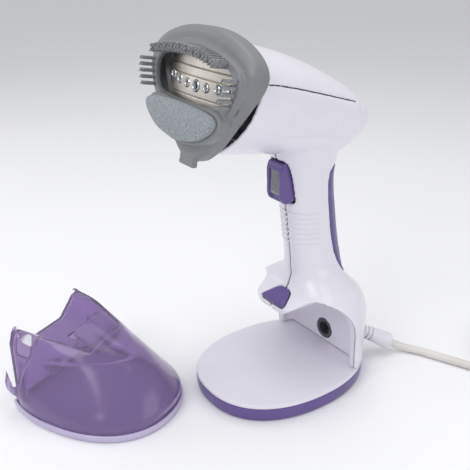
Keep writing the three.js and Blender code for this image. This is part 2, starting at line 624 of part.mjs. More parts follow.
function electrics() {
  const plunger = box(-1.5, 1.5, 6.6, 8.2, 176, 179);
  part('micro_switch', join(box(-4, 4, 8, 18, 172, 190), plunger), 'darkPlastic');
  const clampRow = box(-28, -15, 58.8, 61, 34, 40);
  part('terminal_block', join(box(-30, -13, 52.6, 59, 32, 42), clampRow), 'darkPlastic');
  const grip = rod(alongBush(-40), alongBush(-12.5), cord.radius + 2 * gap, 12);
  part('cord_clamp', cut(box(3.6, 12.6, 58.8, 61, 29.5, 39.4), grip), 'darkPlastic');
  const lead = (x, y) => tube([
    [x - 6, 55, 42.4], [x - 5, 57, 54], [x, 54.5, 72], [-13, y + 12, 92],
    [-13.6, y, 116], [-13.6, y - 4, 150], [-10, y - 8, 200],
  ], 1.2, 4, 14);
  part('power_lead_live', lead(-16, 32), 'wire');
  part('power_lead_neutral', lead(-12, 26), 'darkPlastic');
}

// ---- trigger, lock slider and tank release ----

function triggerParts() {
  const face = new THREE.Shape();
  face.moveTo(3, trigger.high);
  face.lineTo(-9, trigger.high);
  face.quadraticCurveTo(trigger.frontY, trigger.high - 1, trigger.frontY, trigger.high - 7);
  face.lineTo(trigger.frontY + 0.6, trigger.low + 7);
  face.quadraticCurveTo(trigger.frontY + 1.4, trigger.low, -6, trigger.low);
  face.lineTo(3, trigger.low + 3);
  const lever = prism(face, -trigger.halfWidth, trigger.halfWidth, sideFrame);
  const hub = rod(alongPin(-9), alongPin(9), 3.2, 14);
  const arm = box(-6, 6, trigger.pinY - 2.4, trigger.pinY + 3, 190, trigger.pinZ);
  const bore = rod(alongPin(-12), alongPin(12), 1.5 + gap / 2, 12);
  const pocketHalf = slider.halfWidth + gap;
  const pocketLow = slider.low - slider.travel - gap;
  const pocket = box(-pocketHalf, pocketHalf, -20, trigger.frontY + 3.4, pocketLow, slider.high + gap);
  const springSeat = rod(vector(0, -6, 167), vector(0, 8, 167), 4.2, 14);
  const nose = box(-3, 3, 0, 3.4, 175, 180);
  part('trigger', cut(join(lever, hub, arm, nose), bore, pocket, springSeat), 'purpleShell');
  const plateY = trigger.frontY + 0.9;
  const lock = box(-slider.halfWidth, slider.halfWidth, plateY, plateY + 2.2, slider.low, slider.high);
  part('trigger_lock', lock, 'greyShell');
  part('trigger_pin', rod(alongPin(-15), alongPin(15), 1.5, 12), 'steel');
  part('trigger_spring', coil(vector(0, -5.6, 167), vector(0, 9.2, 167), 3.2, 0.5, 4), 'steel');
}

function releaseParts() {
  const skin = cut(casingForm(0), casingForm(wall)).intersect(buttonPrism(0));
  const arm = box(-5, 5, -9, latch.hookY + 2, 72.4, 75.4).intersect(casingForm(wall + 0.4));
  const hub = rod(alongLatch(-6.4), alongLatch(6.4), 2.8, 14);
  const [hookFront, hookBack] = [latch.hookY - 2, latch.hookY + 2];
  const hook = polygon([[hookFront, 75], [hookBack, 75], [hookBack, 66.4], [hookFront, 63.4]]);
  const bore = rod(alongLatch(-9), alongLatch(9), latch.pinR + 0.2, 12);
  const post = box(-4, 4, -8, -2, 73, 90).intersect(casingForm(1));
  const lever = join(skin, post, arm, hub, prism(hook, -4.4, 4.4, sideFrame));
  part('release_button', cut(lever, bore), 'purpleShell');
  part('latch_pin', rod(alongLatch(-12), alongLatch(12), latch.pinR, 12), 'steel');
  part('latch_spring', coil(vector(0, 14, 75.8), vector(0, 14, 84), 3, 0.5, 4), 'steel');
}

// ---- mains cord ----

// The cord's middle line from the bush to the coil, laid by hand on the surface.
const cordRoute = [
  [35.6, 105, 7], [42.5, 112, 4.3], [52.7, 118.8, 3.6],
  [69.4, 126.1, 3.6], [93.7, 136.5, 3.6], [112.6, 144.5, 3.6],
];
const cordTail = [[137.3, 147.3, 13.8], [145.1, 145.5, 16.5], [155, 143.2, 17.8]];

function cordParts() {
  const r = bush.rootR;
  const R = bush.endR;
  const profile = [
    [0, -0.5], [cord.radius, -0.5], [cord.radius, -0.36], [r + 2.2, -0.36], [r + 2.2, -0.26], [r, -0.26],
    [r, 0.1], [r + 0.5, 0.3], [R - 0.4, 0.82], [R, 0.86], [R, 1], [0, 1],
  ];
  part('cord_bush', turned(alongBush(0), alongBush(bush.length), profile, 16), 'cordSkin');
  const start = alongBush(bush.length + gap).toArray();
  part('power_cord', tube([start, ...cordRoute], cord.radius, 8, 26), 'cordSkin');
  const [x, y] = cord.coilAt;
  const inner = cord.coilRadius - cord.coilHalf;
  const outer = cord.coilRadius + cord.coilHalf;
  const wound = ring(vector(x, y, 0.1), vector(x, y, cord.coilHigh), outer, inner, 32);
  part('cord_coil', wound, 'cordSkin');
  part('mains_plug', plug(), 'cordSkin');
}

// A two-pin plug lying on its side, with the last of the cable that comes out of the coil.
function plug() {
  const [x, y, z] = plugBody.at;
  const [ahead, aside] = plugBody.way;
  const at = (along, off) => vector(x + along * ahead - off * aside, y + along * aside + off * ahead, z);
  const R = plugBody.radius;
  const profile = [[0, 0], [4.6, 0], [6, 0.36], [0.75 * R, 0.5], [R, 0.62], [R, 1], [0, 1]];
  const pins = [-1, 1].map((side) => rod(
    at(plugBody.length - 1, side * plugBody.pinApart),
    at(plugBody.length + plugBody.pinReach, side * plugBody.pinApart), plugBody.pinR, 10));
  const grip = turned(at(0, 0), at(plugBody.length, 0), profile, 20);
  return join(grip, ...pins, tube(cordTail, cord.radius, 8, 10));
}

// ---- tank ----

// Level ovals up the tank's outside, in the tank's own frame: docked, it stands on the tray with its
// nose at -Y. Their middle moves back as they rise, so that the nose slopes.
function tankForm(inset, rear, low) {
  const rings = [
    { z: low, middle: 0, front: 73.2, half: 55.2, power: 2.3 },
    { z: 7.4, middle: 0, front: 73.2, half: 55.2, power: 2.3 },
    { z: 14, middle: 6, front: 75.2, half: 55.4, power: 2.2 },
    { z: 22, middle: 22, front: 72.4, half: 54.4, power: 2 },
    { z: 30, middle: 36, front: 67, half: 52.5, power: 1.9 },
    { z: 41, middle: 44, front: 56.5, half: 48, power: 1.8 },
    { z: 49, middle: 46, front: 45, half: 45.4, power: 1.75 },
    { z: 56, middle: 46, front: 35, half: 43.2, power: 1.7 },
    { z: 62, middle: 46, front: 22, half: 41, power: 1.7 },
    { z: 66, middle: 46, front: 13, half: 39.6, power: 1.7 },
    { z: 70, middle: 46, front: 3, half: 36.4, power: 1.7 },
  ];
  const body = loft(rings, (r, angle, reach) => {
    const [x, y] = oval(angle, r.half - inset, r.middle + r.front - inset, 76, r.power);
    return vector(x * reach, r.middle + y * reach, r.z > 60 ? r.z - 0.7 * inset : r.z);
  });
  return body.intersect(box(-80, 80, -120, rear, -5, 100));
}

// What the casing fills around the docked tank, grown by a clearance, in the tank's own frame.
function casingRoom(clear) {
  const pocket = pocketForm(-clear).intersect(shoulderForm(2 * wall + gap + clear, 8));
  const room = cut(shoulderForm(-clear, 8), archForm(-clear), pocket);
  return moved(room, new THREE.Matrix4().makeTranslation(0, 0, -bay.floor));
}

// The body itself, without the slivers that a cut leaves at a corner.
function largest(body) {
  return body.decompose().sort((a, b) => b.volume() - a.volume())[0];
}

function tankParts() {
  const place = new THREE.Matrix4().makeRotationZ(radians(tank.turn)).setPosition(tank.x, tank.y, 0);
  const spout = tank.spoutZ;
  // the recess that the latch hook drops into
  const catchBox = (grow) => box(-5.5 - grow, 5.5 + grow, 11 - grow, 19.6 + grow, 47.4 - grow, 60);
  const outside = cut(tankForm(0, tank.rearY, 2.5), casingRoom(0.7), catchBox(0));
  const room = tankForm(tank.wall, tank.rearY - tank.wall, -2);
  const inside = cut(room, casingRoom(0.7 + tank.wall), catchBox(tank.wall));
  const skin = cut(outside, inside);
  const lid = (grow) => box(-50, -29 + grow, 24 - grow, 43.4 + grow, 59.6 - grow, 90);
  const hole = rod(vector(0, 40, spout), vector(0, 50, spout), 5.3, 16);
  part('tank_shell', largest(cut(skin, lid(gap), hole)), 'tankTint', place);
  part('filler_cap', largest(skin.intersect(lid(0))), 'silicone', place);

  const plan = (grow, z0, z1) => {
    const slab = loft([{ z: z0 }, { z: z1 }], (r, angle, reach) => {
      const [x, y] = oval(angle, 55.2 + grow, 73.2 + grow, 76);
      return vector(x * reach, y * reach, r.z);
    });
    return slab.intersect(box(-80, 80, -120, tank.rearY + grow, -5, 100));
  };
  const dish = cut(plan(1.8, 0, tank.baseHigh), plan(gap, 2.2, 20), casingRoom(0.4));
  part('tank_base', dish, 'tankTint', place);

  const along = (y) => vector(0, y, spout);
  const profile = [
    [3, 0], [7.4, 0], [7.4, 0.15], [5, 0.15], [5, 0.75], [4.1, 0.8], [4.1, 1], [2, 1], [2, 0.8], [3, 0.75], [3, 0],
  ];
  part('valve_housing', turned(along(41.4), along(55), profile, 16), 'silicone', place);
  const stem = join(rod(along(44), along(54.6), 1.5, 8), rod(along(50), along(51.2), 2.6, 12));
  part('valve_plunger', stem, 'steel', place);
  part('valve_spring', coil(along(44.4), along(49.7), 2.3, 0.35, 3), 'steel', place);
}

function moved(body, matrix) {
  return solid(geometryOf(body).applyMatrix4(matrix));
}

housings();
bayLiner();
baseParts();
steamHead();
brush();
pumpAndHoses();
electrics();
triggerParts();
releaseParts();
cordParts();
tankParts();

export default group;
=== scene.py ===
# Handheld garment steamer on its stand, with its water tank set down beside it.
# Blender's scene is in metres. Shapes are drawn in millimetres and made metres by meshObject.

import json
from math import atan2, cos, exp, hypot, pi, radians, sin

import bmesh
import bpy
from mathutils import Matrix, Vector


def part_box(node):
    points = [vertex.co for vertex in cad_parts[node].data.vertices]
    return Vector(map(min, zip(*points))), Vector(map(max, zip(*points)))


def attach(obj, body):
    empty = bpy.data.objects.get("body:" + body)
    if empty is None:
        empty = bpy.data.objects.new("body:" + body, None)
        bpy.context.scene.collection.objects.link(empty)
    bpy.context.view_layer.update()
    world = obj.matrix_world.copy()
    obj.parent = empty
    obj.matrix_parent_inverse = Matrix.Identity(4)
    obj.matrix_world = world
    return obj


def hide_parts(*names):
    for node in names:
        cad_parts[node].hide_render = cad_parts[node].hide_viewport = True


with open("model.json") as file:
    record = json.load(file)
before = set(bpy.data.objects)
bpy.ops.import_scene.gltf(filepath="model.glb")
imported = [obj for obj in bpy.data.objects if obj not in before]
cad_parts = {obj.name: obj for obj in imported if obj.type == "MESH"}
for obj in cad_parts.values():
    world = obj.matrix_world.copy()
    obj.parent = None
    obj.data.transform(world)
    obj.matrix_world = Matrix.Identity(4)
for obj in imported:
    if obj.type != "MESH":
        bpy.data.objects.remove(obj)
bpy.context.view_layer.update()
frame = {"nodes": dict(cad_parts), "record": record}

mm = 0.001

# camera and room

view = {"from": (0.3876, -0.3298, 0.3585), "to": (-0.0252, -0.0318, 0.130), "lens": 53.43}


def makeCamera():
    camera = bpy.data.cameras.new("camera")
    camera.lens = view["lens"]
    camera.sensor_width = 36
    obj = bpy.data.objects.new("camera", camera)
    obj.location = view["from"]
    way = Vector(view["to"]) - Vector(view["from"])
    obj.rotation_euler = way.to_track_quat("-Z", "Y").to_euler()
    bpy.context.collection.objects.link(obj)
    bpy.context.scene.camera = obj


makeCamera()
print("camera ready")

# shape helpers


def curveAt(a, b, c, d, t):
    # part t of the way from b to c on a smooth curve through the four
    return 0.5 * (2 * b + (c - a) * t + (2 * a - 5 * b + 4 * c - d) * t * t + (3 * b - a - 3 * c + d) * t ** 3)


def between(rows, at):
    # smooth values part of the way along a list of rows
    i = min(int(at), len(rows) - 2)
    t = at - i
    near = [rows[max(0, min(len(rows) - 1, i + k))] for k in (-1, 0, 1, 2)]
    return [curveAt(*column, t) for column in zip(*near)]


def closedCurve(points, count):
    # evenly spaced points on a smooth closed curve through the given ones
    n = len(points)
    fine = []
    for i in range(n):
        near = [points[(i + k) % n] for k in (-1, 0, 1, 2)]
        for step in range(24):
            fine.append([curveAt(*column, step / 24) for column in zip(*near)])
    lengths = [0]
    for i, p in enumerate(fine):
        q = fine[(i + 1) % len(fine)]
        lengths.append(lengths[-1] + hypot(q[0] - p[0], q[1] - p[1]))
    spaced, k = [], 0
    for i in range(count):
        goal = lengths[-1] * i / count
        while lengths[k + 1] < goal:
            k += 1
        share = (goal - lengths[k]) / (lengths[k + 1] - lengths[k])
        p, q = fine[k], fine[(k + 1) % len(fine)]
        spaced.append((p[0] + (q[0] - p[0]) * share, p[1] + (q[1] - p[1]) * share))
    return spaced


def mirrored(side, inset=0, count=150):
    # a closed outline from the points down its right side, moved inwards by inset
    left = [(-x, y) for x, y in side[-2:0:-1]]
    points = closedCurve(list(side) + left, count)
    moved = []
    for i, (x, y) in enumerate(points):
        before, after = points[i - 1], points[(i + 1) % count]
        along = Vector((after[0] - before[0], after[1] - before[1])).normalized()
        moved.append((x + along.y * inset, y - along.x * inset))
    return moved


def rounded(points, radius, steps=5):
    # a polygon with its corners made round
    result = []
    for i, corner in enumerate(points):
        here = Vector(corner)
        before, after = Vector(points[i - 1]) - here, Vector(points[(i + 1) % len(points)]) - here
        reach = min(radius, before.length / 2.2, after.length / 2.2)
        start, end = here + before.normalized() * reach, here + after.normalized() * reach
        for k in range(steps + 1):
            t = k / steps
            result.append(tuple(start * (1 - t) ** 2 + here * 2 * t * (1 - t) + end * t * t))
    return result


def rectangle(x0, x1, y0, y1):
    return [(x0, y0), (x1, y0), (x1, y1), (x0, y1)]


def onlyVerts(made):
    return [g for g in made if isinstance(g, bmesh.types.BMVert)]


def outward(bm):
    bmesh.ops.recalc_face_normals(bm, faces=bm.faces)
    if bm.calc_volume(signed=True) < 0:
        bmesh.ops.reverse_faces(bm, faces=bm.faces)
    return bm


def skin(levels, around, place):
    # a closed skin: a ring is pulled up level by level, then every point is put where place says
    bm = bmesh.new()
    bmesh.ops.create_circle(bm, segments=around, radius=1)
    edges = list(bm.edges)
    for level in range(1, levels):
        made = bmesh.ops.extrude_edge_only(bm, edges=edges)["geom"]
        bmesh.ops.translate(bm, vec=(0, 0, 1), verts=onlyVerts(made))
        edges = [
            g for g in made
            if isinstance(g, bmesh.types.BMEdge) and all(v.co.z > level - 0.5 for v in g.verts)
        ]
    bmesh.ops.holes_fill(bm, edges=bm.edges, sides=0)
    for v in bm.verts:
        v.co = place(round(v.co.z), round(atan2(v.co.y, v.co.x) / (2 * pi) * around) % around)
    return outward(bm)


def loft(rows, pointOf, around=96, steps=6):
    # a skin over smooth sections between the rows. Angle 0 is at the front
    last = (len(rows) - 1) * steps
    fine = [between(rows, level / steps) for level in range(last + 1)]
    return skin(last + 1, around, lambda level, k: pointOf(fine[level], 2 * pi * k / around))


def slab(points, low, high, place=Matrix.Identity(4)):
    # an outline pulled up into a solid
    bm = bmesh.new()
    face = bm.faces.new([bm.verts.new((x, y, low)) for x, y in points])
    made = bmesh.ops.extrude_face_region(bm, geom=[face])["geom"]
    bmesh.ops.translate(bm, vec=(0, 0, high - low), verts=onlyVerts(made))
    bmesh.ops.transform(bm, matrix=place, verts=bm.verts)
    return outward(bm)


def block(low, high, place=Matrix.Identity(4)):
    return slab(rectangle(low[0], high[0], low[1], high[1]), low[2], high[2], place)


def turned(profile, start, end, around=40):
    # a profile of (radius, share of the way) spun round the line from start to end
    start, end = Vector(start), Vector(end)
    length = (end - start).length
    bm = bmesh.new()
    verts = [bm.verts.new((r, 0, t * length)) for r, t in profile]
    edges = [bm.edges.new(pair) for pair in zip(verts, verts[1:])]
    bmesh.ops.spin(
        bm, geom=verts + edges, axis=(0, 0, 1), cent=(0, 0, 0), angle=2 * pi, steps=around, use_merge=True)
    bmesh.ops.remove_doubles(bm, verts=bm.verts, dist=1e-4)
    turn = (end - start).to_track_quat("Z", "Y").to_matrix().to_4x4()
    bmesh.ops.transform(bm, matrix=Matrix.Translation(start) @ turn, verts=bm.verts)
    return outward(bm)


def rod(start, end, radius, around=32):
    return turned([(0, 0), (radius, 0), (radius, 1), (0, 1)], start, end, around)


def addTo(bm, other):
    # puts the second shape into the first as a loose piece
    mesh = bpy.data.meshes.new("loose")
    other.to_mesh(mesh)
    other.free()
    bm.from_mesh(mesh)
    bpy.data.meshes.remove(mesh)
    return bm


def meshObject(name, bm, place=None):
    if place:
        bmesh.ops.transform(bm, matrix=place, verts=bm.verts)
    bmesh.ops.scale(bm, vec=(mm, mm, mm), verts=bm.verts)
    mesh = bpy.data.meshes.new(name)
    bm.to_mesh(mesh)
    bm.free()
    obj = bpy.data.objects.new(name, mesh)
    bpy.context.collection.objects.link(obj)
    return obj


def worked(obj, *steps):
    # applies modifiers, each given as its kind and its settings
    for kind, settings in steps:
        modifier = obj.modifiers.new(kind, kind)
        for key, value in settings.items():
            setattr(modifier, key, value)
    seen = obj.evaluated_get(bpy.context.evaluated_depsgraph_get())
    mesh = bpy.data.meshes.new_from_object(seen)
    obj.modifiers.clear()
    old, obj.data = obj.data, mesh
    bpy.data.meshes.remove(old)
    return obj


def combined(obj, how, *tools):
    for tool in tools:
        worked(obj, ("BOOLEAN", {"object": tool, "operation": how, "solver": "EXACT"}))
        bpy.data.objects.remove(tool)
    return obj


def without(obj, *tools):
    return combined(obj, "DIFFERENCE", *tools)


def within(obj, *tools):
    return combined(obj, "INTERSECT", *tools)


def united(obj, *tools):
    return combined(obj, "UNION", *tools)


def twin(obj):
    double = obj.copy()
    double.data = obj.data.copy()
    bpy.context.collection.objects.link(double)
    return double


def moulded(obj, voxel, smooth=6, amount=0.5):
    # an even skin with its edges rounded, as a moulding comes out of its tool
    return worked(
        obj,
        ("REMESH", {"mode": "VOXEL", "voxel_size": voxel * mm, "adaptivity": 0.0}),
        ("SMOOTH", {"iterations": smooth, "factor": amount}),
    )


def finished(obj, body, slotName, material, *nodes):
    obj.data.materials.clear()
    obj.data.materials.append(material)
    for face in obj.data.polygons:
        face.use_smooth = True
    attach(obj, body)
    if nodes:
        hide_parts(*nodes)
    return obj


def sharpShading(obj, angle=35):
    obj.data.set_sharp_from_angle(angle=radians(angle))
    return obj


# materials


def linear(code):
    values = [int(code[i:i + 2], 16) / 255 for i in (1, 3, 5)]
    return tuple(v / 12.92 if v < 0.04045 else ((v + 0.055) / 1.055) ** 2.4 for v in values) + (1.0,)


def addNode(material, kind, settings=(), inputs=()):
    # inputs are plain values, or a (node, output name) pair to link from
    node = material.node_tree.nodes.new(kind)
    for key, value in dict(settings).items():
        setattr(node, key, value)
    for key, value in dict(inputs).items():
        if isinstance(value, tuple) and isinstance(value[0], bpy.types.Node):
            material.node_tree.links.new(value[0].outputs[value[1]], node.inputs[key])
        else:
            node.inputs[key].default_value = value
    return node


def newMaterial(name):
    material = bpy.data.materials.new(name)
    material.use_nodes = True
    material.node_tree.nodes.clear()
    return material


def closeMaterial(material, shader):
    addNode(material, "ShaderNodeOutputMaterial", {}, {"Surface": (shader, "BSDF")})
    return material


def grained(material, size, depth, detail=3.0):
    # fine bump with bumps of that size in millimetres
    spots = addNode(material, "ShaderNodeTexCoord")
    noise = addNode(material, "ShaderNodeTexNoise", {}, {
        "Vector": (spots, "Object"), "Scale": 1000 / size, "Detail": detail, "Roughness": 0.55})
    return addNode(material, "ShaderNodeBump", {}, {
        "Height": (noise, "Fac"), "Strength": 0.5, "Distance": depth * mm})


def cloudy(material, size, dark, light):
    # slow change of colour over that size in millimetres
    spots = addNode(material, "ShaderNodeTexCoord")
    noise = addNode(material, "ShaderNodeTexNoise", {}, {
        "Vector": (spots, "Object"), "Scale": 1000 / size, "Detail": 2.0})
    ramp = addNode(material, "ShaderNodeValToRGB", {}, {"Fac": (noise, "Fac")})
    ramp.color_ramp.elements[0].position = 0.35
    ramp.color_ramp.elements[0].color = linear(dark)
    ramp.color_ramp.elements[1].position = 0.65
    ramp.color_ramp.elements[1].color = linear(light)
    return ramp


def plastic(name, dark, light, roughness, size=2.2, depth=0.02, coat=0.0, scatter=0.0, swirl=70):
    material = newMaterial(name)
    colour = cloudy(material, swirl, dark, light)
    bump = grained(material, size, depth)
    shader = addNode(material, "ShaderNodeBsdfPrincipled", {}, {
        "Base Color": (colour, "Color"), "Roughness": roughness, "IOR": 1.53, "Normal": (bump, "Normal"),
        "Coat Weight": coat, "Coat Roughness": 0.08, "Subsurface Weight": scatter,
        "Subsurface Scale": 0.004})
    return closeMaterial(material, shader)


def metal(name, dark, light, roughness, size, depth, swirl=8):
    material = newMaterial(name)
    colour = cloudy(material, swirl, dark, light)
    bump = grained(material, size, depth)
    shader = addNode(material, "ShaderNodeBsdfPrincipled", {}, {
        "Base Color": (colour, "Color"), "Metallic": 1.0, "Roughness": roughness,
        "Normal": (bump, "Normal")})
    return closeMaterial(material, shader)


# moulded ABS is glossy, with the faint ripple of its tool
whiteAbs = plastic("moulded_white_abs", "#E2E0E9", "#E6E4EC", 0.24, size=5, depth=0.012)
# the panels of the bay are the same ABS with a finer, duller tool finish
satinAbs = plastic("satin_white_abs", "#DCD9E3", "#E0DDE7", 0.42, size=1.2, depth=0.012)
# coloured through, a little less glossy than the white
purpleAbs = plastic("moulded_purple_abs", "#5C4A86", "#644F90", 0.3, size=3, depth=0.012)
# polypropylene, spark finished, looks dry and slightly speckled
greyPolypropylene = plastic("grey_polypropylene", "#77797C", "#7E8083", 0.46, size=0.9, depth=0.03)
# the lock's ribbed face is cut finer, so its highlight is broken up
greyInset = plastic("grey_ribbed_abs", "#85878A", "#8C8E92", 0.4, size=0.8, depth=0.02)
# nylon monofilament, slightly waxy
nylonBristle = plastic("nylon_bristle", "#7F8183", "#9C9EA0", 0.42, size=1.0, depth=0.02, swirl=1.6)
# ceramic-filled coat sprayed on aluminium: pale, with a broad soft highlight
plateCoat = metal("sprayed_plate_coat", "#CFC9C0", "#DAD4CB", 0.42, size=0.5, depth=0.008, swirl=12)
# polished steel mirrors the room, and zinc plate blurs it
brightSteel = metal("polished_steel", "#C9CBCE", "#D4D6D9", 0.14, size=3, depth=0.004)
zincSteel = metal("zinc_plated_steel", "#A9ACB0", "#BDC0C4", 0.32, size=1.2, depth=0.01)
# die casting leaves a dull, grainy skin
castAluminium = metal("die_cast_aluminium", "#9FA1A4", "#B2B4B7", 0.55, size=1.5, depth=0.05)
# rubber takes hardly any highlight, and silicone a soft one with some depth
blackRubber = plastic("black_rubber", "#2E2E31", "#3A3A3E", 0.8, size=0.8, depth=0.03)
paleSilicone = plastic("silicone_rubber", "#D5D2DB", "#DEDBE3", 0.5, size=2, depth=0.01, scatter=0.2)
# extruded soft PVC, matt with a faint sheen
cordPvc = plastic("soft_pvc_sheath", "#D6D1CC", "#DFDBD6", 0.48, size=1.6, depth=0.02, swirl=40)
# inner pieces: glass-filled nylon is dry and dark, wire insulation has a waxy shine
darkNylon = plastic("glass_filled_nylon", "#3F3F45", "#4B4B52", 0.55, size=0.8, depth=0.03)
redWire = plastic("wire_insulation", "#8F332C", "#A03C34", 0.5, size=1.5, depth=0.01)


def tinted(name, colour, roughness):
    # tinted clear plastic: light passes through a coloured surface and is dimmed inside
    material = newMaterial(name)
    bump = grained(material, 4, 0.01)
    glass = addNode(material, "ShaderNodeBsdfPrincipled", {}, {
        "Base Color": linear(colour), "Roughness": roughness, "IOR": 1.4, "Transmission Weight": 0.82,
        "Normal": (bump, "Normal")})
    return closeMaterial(material, glass)


tankTint = tinted("tinted_clear_tank", "#C2ADD8", 0.12)
# the tank's foot is moulded milky, so it glows a little at its edges
tankFloor = plastic("pale_tinted_floor", "#BDB2D2", "#C6BCDA", 0.3, size=4, depth=0.01, scatter=0.1)
# woven velour: a dull backing under a pale leaning pile
padCloth = plastic("velour_backing", "#7F858A", "#9BA1A6", 0.9, size=0.8, depth=0.1, swirl=1.2)
padPile = plastic("velour_pile", "#8F959A", "#D5D9DC", 0.7, size=0.6, depth=0.02, swirl=1.7)
# firmer PVC than the cord's, with a smoother skin
paleBush = plastic("strain_relief_pvc", "#DDDAE2", "#E4E1E8", 0.4, size=1.6, depth=0.015)

finishOf = {
    "white_casing": satinAbs, "purple_trim": purpleAbs, "grey_trim": greyPolypropylene,
    "comb_teeth": nylonBristle, "coated_plate": plateCoat, "bright_steel": zincSteel,
    "cast_aluminium": castAluminium, "black_rubber": blackRubber, "pale_silicone": paleSilicone,
    "cord_sheath": cordPvc, "dark_plastic": darkNylon, "live_wire": redWire, "tinted_tank": tankTint,
    "tank_floor": tankFloor, "lint_fabric": padCloth,
}

for entry in frame["record"]["subparts"]:
    if entry["material_slot"] in finishOf:
        node = frame["nodes"][entry["node"]]
        node.data.materials.clear()
        node.data.materials.append(finishOf[entry["material_slot"]])
print("materials ready")

# mains cord, its strain relief and its plug

cordSettings = {
    # the coil: two layers wound inwards, then outwards. Entry is its starting angle in degrees
    "diameter": 7, "turn": 7, "outer": 52, "inner": 31, "centre": (119.6, 204.0), "entry": -67.0,
    "turns": 3, "upper": 2.9, "layers": (3.6, 10.7), "length": 1.94,
    "route": [
        (31.3, 99.2, 10.8), (35.6, 105, 7), (42.5, 112, 4.3), (52.7, 118.8, 3.6), (61, 122.4, 3.6),
        (69.4, 126.1, 3.6), (81.5, 131.3, 3.6), (93.7, 136.5, 3.6), (103, 140.5, 3.6), (112.6, 144.5, 3.6),
        (122, 148.5, 3.6), (131, 152.3, 3.6),
    ],
    "tail": [
        (115.9, 152.2, 10.7), (124.7, 150.2, 10.9), (137.3, 147.3, 13.8), (145.1, 145.5, 16.5),
        (155, 143.2, 17.8),
    ],
}
bushSettings = {"root": (16, 73, 26), "way": (0.45, 0.77, -0.45), "length": 34}
plugSettings = {"at": (152.9, 143.7, 17.8), "way": (0.974, -0.225, 0), "length": 46, "radius": 17.5}


def coilPoints():
    s = cordSettings
    spots = []
    climb = 1.0  # turns spent on the way up to the second layer
    total = s["turns"] + climb + s["upper"]
    count = int(total * 16)
    for i in range(count + 1):
        turn = total * i / count
        if turn < s["turns"]:
            radius, rise = s["outer"] - s["turn"] * turn, 0
        elif turn < s["turns"] + climb:
            share = (turn - s["turns"]) / climb
            radius, rise = s["inner"], share * share * (3 - 2 * share)
        else:
            radius, rise = s["inner"] + s["turn"] * (turn - s["turns"] - climb), 1
        angle = radians(s["entry"]) + 2 * pi * turn
        z = s["layers"][0] + rise * (s["layers"][1] - s["layers"][0])
        spots.append((s["centre"][0] + radius * cos(angle), s["centre"][1] + radius * sin(angle), z))
    return spots


def makeCord():
    s = cordSettings
    curve = bpy.data.curves.new("mains_lead", "CURVE")
    curve.dimensions = "3D"
    curve.bevel_depth = s["diameter"] / 2 * mm
    curve.bevel_resolution = 5
    curve.resolution_u = 5
    curve.use_fill_caps = True
    spots = s["route"] + coilPoints() + s["tail"]
    spline = curve.splines.new("BEZIER")
    spline.bezier_points.add(len(spots) - 1)
    for point, spot in zip(spline.bezier_points, spots):
        point.co = Vector(spot) * mm
        point.handle_left_type = point.handle_right_type = "AUTO"
    obj = bpy.data.objects.new("mains_lead", curve)
    bpy.context.collection.objects.link(obj)
    curve.materials.append(cordPvc)
    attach(obj, "stand")
    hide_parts("power_cord", "cord_coil")
    return obj


def makeBush():
    # a ribbed relief: a short neck with slots for bending, then a flared sleeve
    s = bushSettings
    way = Vector(s["way"]).normalized()
    start = Vector(s["root"])
    end = start + way * s["length"]
    profile = [(0, -0.3), (3.6, -0.3), (5.4, -0.24), (5.6, -0.02), (5.3, 0.02), (5.3, 0.07)]
    for groove in range(3):
        at = 0.09 + 0.115 * groove
        wide = 5.5 + 0.35 * groove
        profile += [
            (wide, at), (wide, at + 0.055), (wide - 1.5, at + 0.062), (wide - 1.5, at + 0.098),
            (wide + 0.2, at + 0.106),
        ]
    profile += [(6.4, 0.46), (7.4, 0.84), (7.55, 0.95), (7.3, 1.0), (4.2, 1.0), (4.0, 0.9), (0, 0.9)]
    return finished(sharpShading(meshObject("strain_relief", turned(profile, start, end, 48)), 30),
                    "stand", "cord_sheath", paleBush, "cord_bush")


def makePlug():
    s = plugSettings
    start = Vector(s["at"])
    way = Vector(s["way"]).normalized()
    aside = Vector((-way.y, way.x, 0))
    end = start + way * s["length"]
    radius = s["radius"]
    profile = [(0, 0), (4.4, 0), (4.8, 0.02)]
    for ring in range(4):
        at = 0.05 + 0.075 * ring
        wide = 4.9 + 0.4 * ring
        profile += [(wide, at), (wide, at + 0.03), (wide - 0.8, at + 0.04), (wide - 0.8, at + 0.06)]
    profile += [
        (6.6, 0.37), (9, 0.43), (13.2, 0.5), (16.2, 0.58), (radius, 0.65), (radius, 0.95),
        (radius - 1.2, 0.99), (radius - 2.2, 1.0), (0, 1.0),
    ]
    body = turned(profile, start, end, 48)
    pins = bmesh.new()
    for side in (-9.5, 9.5):
        foot = end + aside * side
        pin = [(0, 0), (2.4, 0), (2.4, 0.9), (1.9, 0.97), (0, 1)]
        addTo(pins, turned(pin, foot - way * 2, foot + way * 18.8, 20))
    relief = sharpShading(meshObject("plug_grip", body), 30)
    finished(relief, "stand", "cord_sheath", paleBush, "mains_plug")
    blades = sharpShading(meshObject("plug_pins", pins), 30)
    finished(blades, "stand", "bright_steel", brightSteel)
    return relief, blades


lead = makeCord()
bush = makeBush()
plugPieces = makePlug()
print("cord ready")

# frames that the outlines are drawn in

tilt = radians(10)
headAxis, headUp = Vector((0, -cos(tilt), sin(tilt))), Vector((0, sin(tilt), cos(tilt)))


def basis(x, y, z, origin=(0, 0, 0)):
    turn = Matrix((x, y, z)).transposed().to_4x4()
    return Matrix.Translation(origin) @ turn


headOrigin = Vector((0, -25, 245))
headFrame = basis((1, 0, 0), headUp, headAxis, headOrigin)  # across, up the face, out of the face
coverFrame = basis(headAxis, headUp, (-1, 0, 0), headOrigin)
sideFrame = basis((0, 1, 0), (0, 0, 1), (1, 0, 0))  # drawn as seen from the side
rearFrame = basis((1, 0, 0), (0, 0, 1), (0, -1, 0))

# casing forms

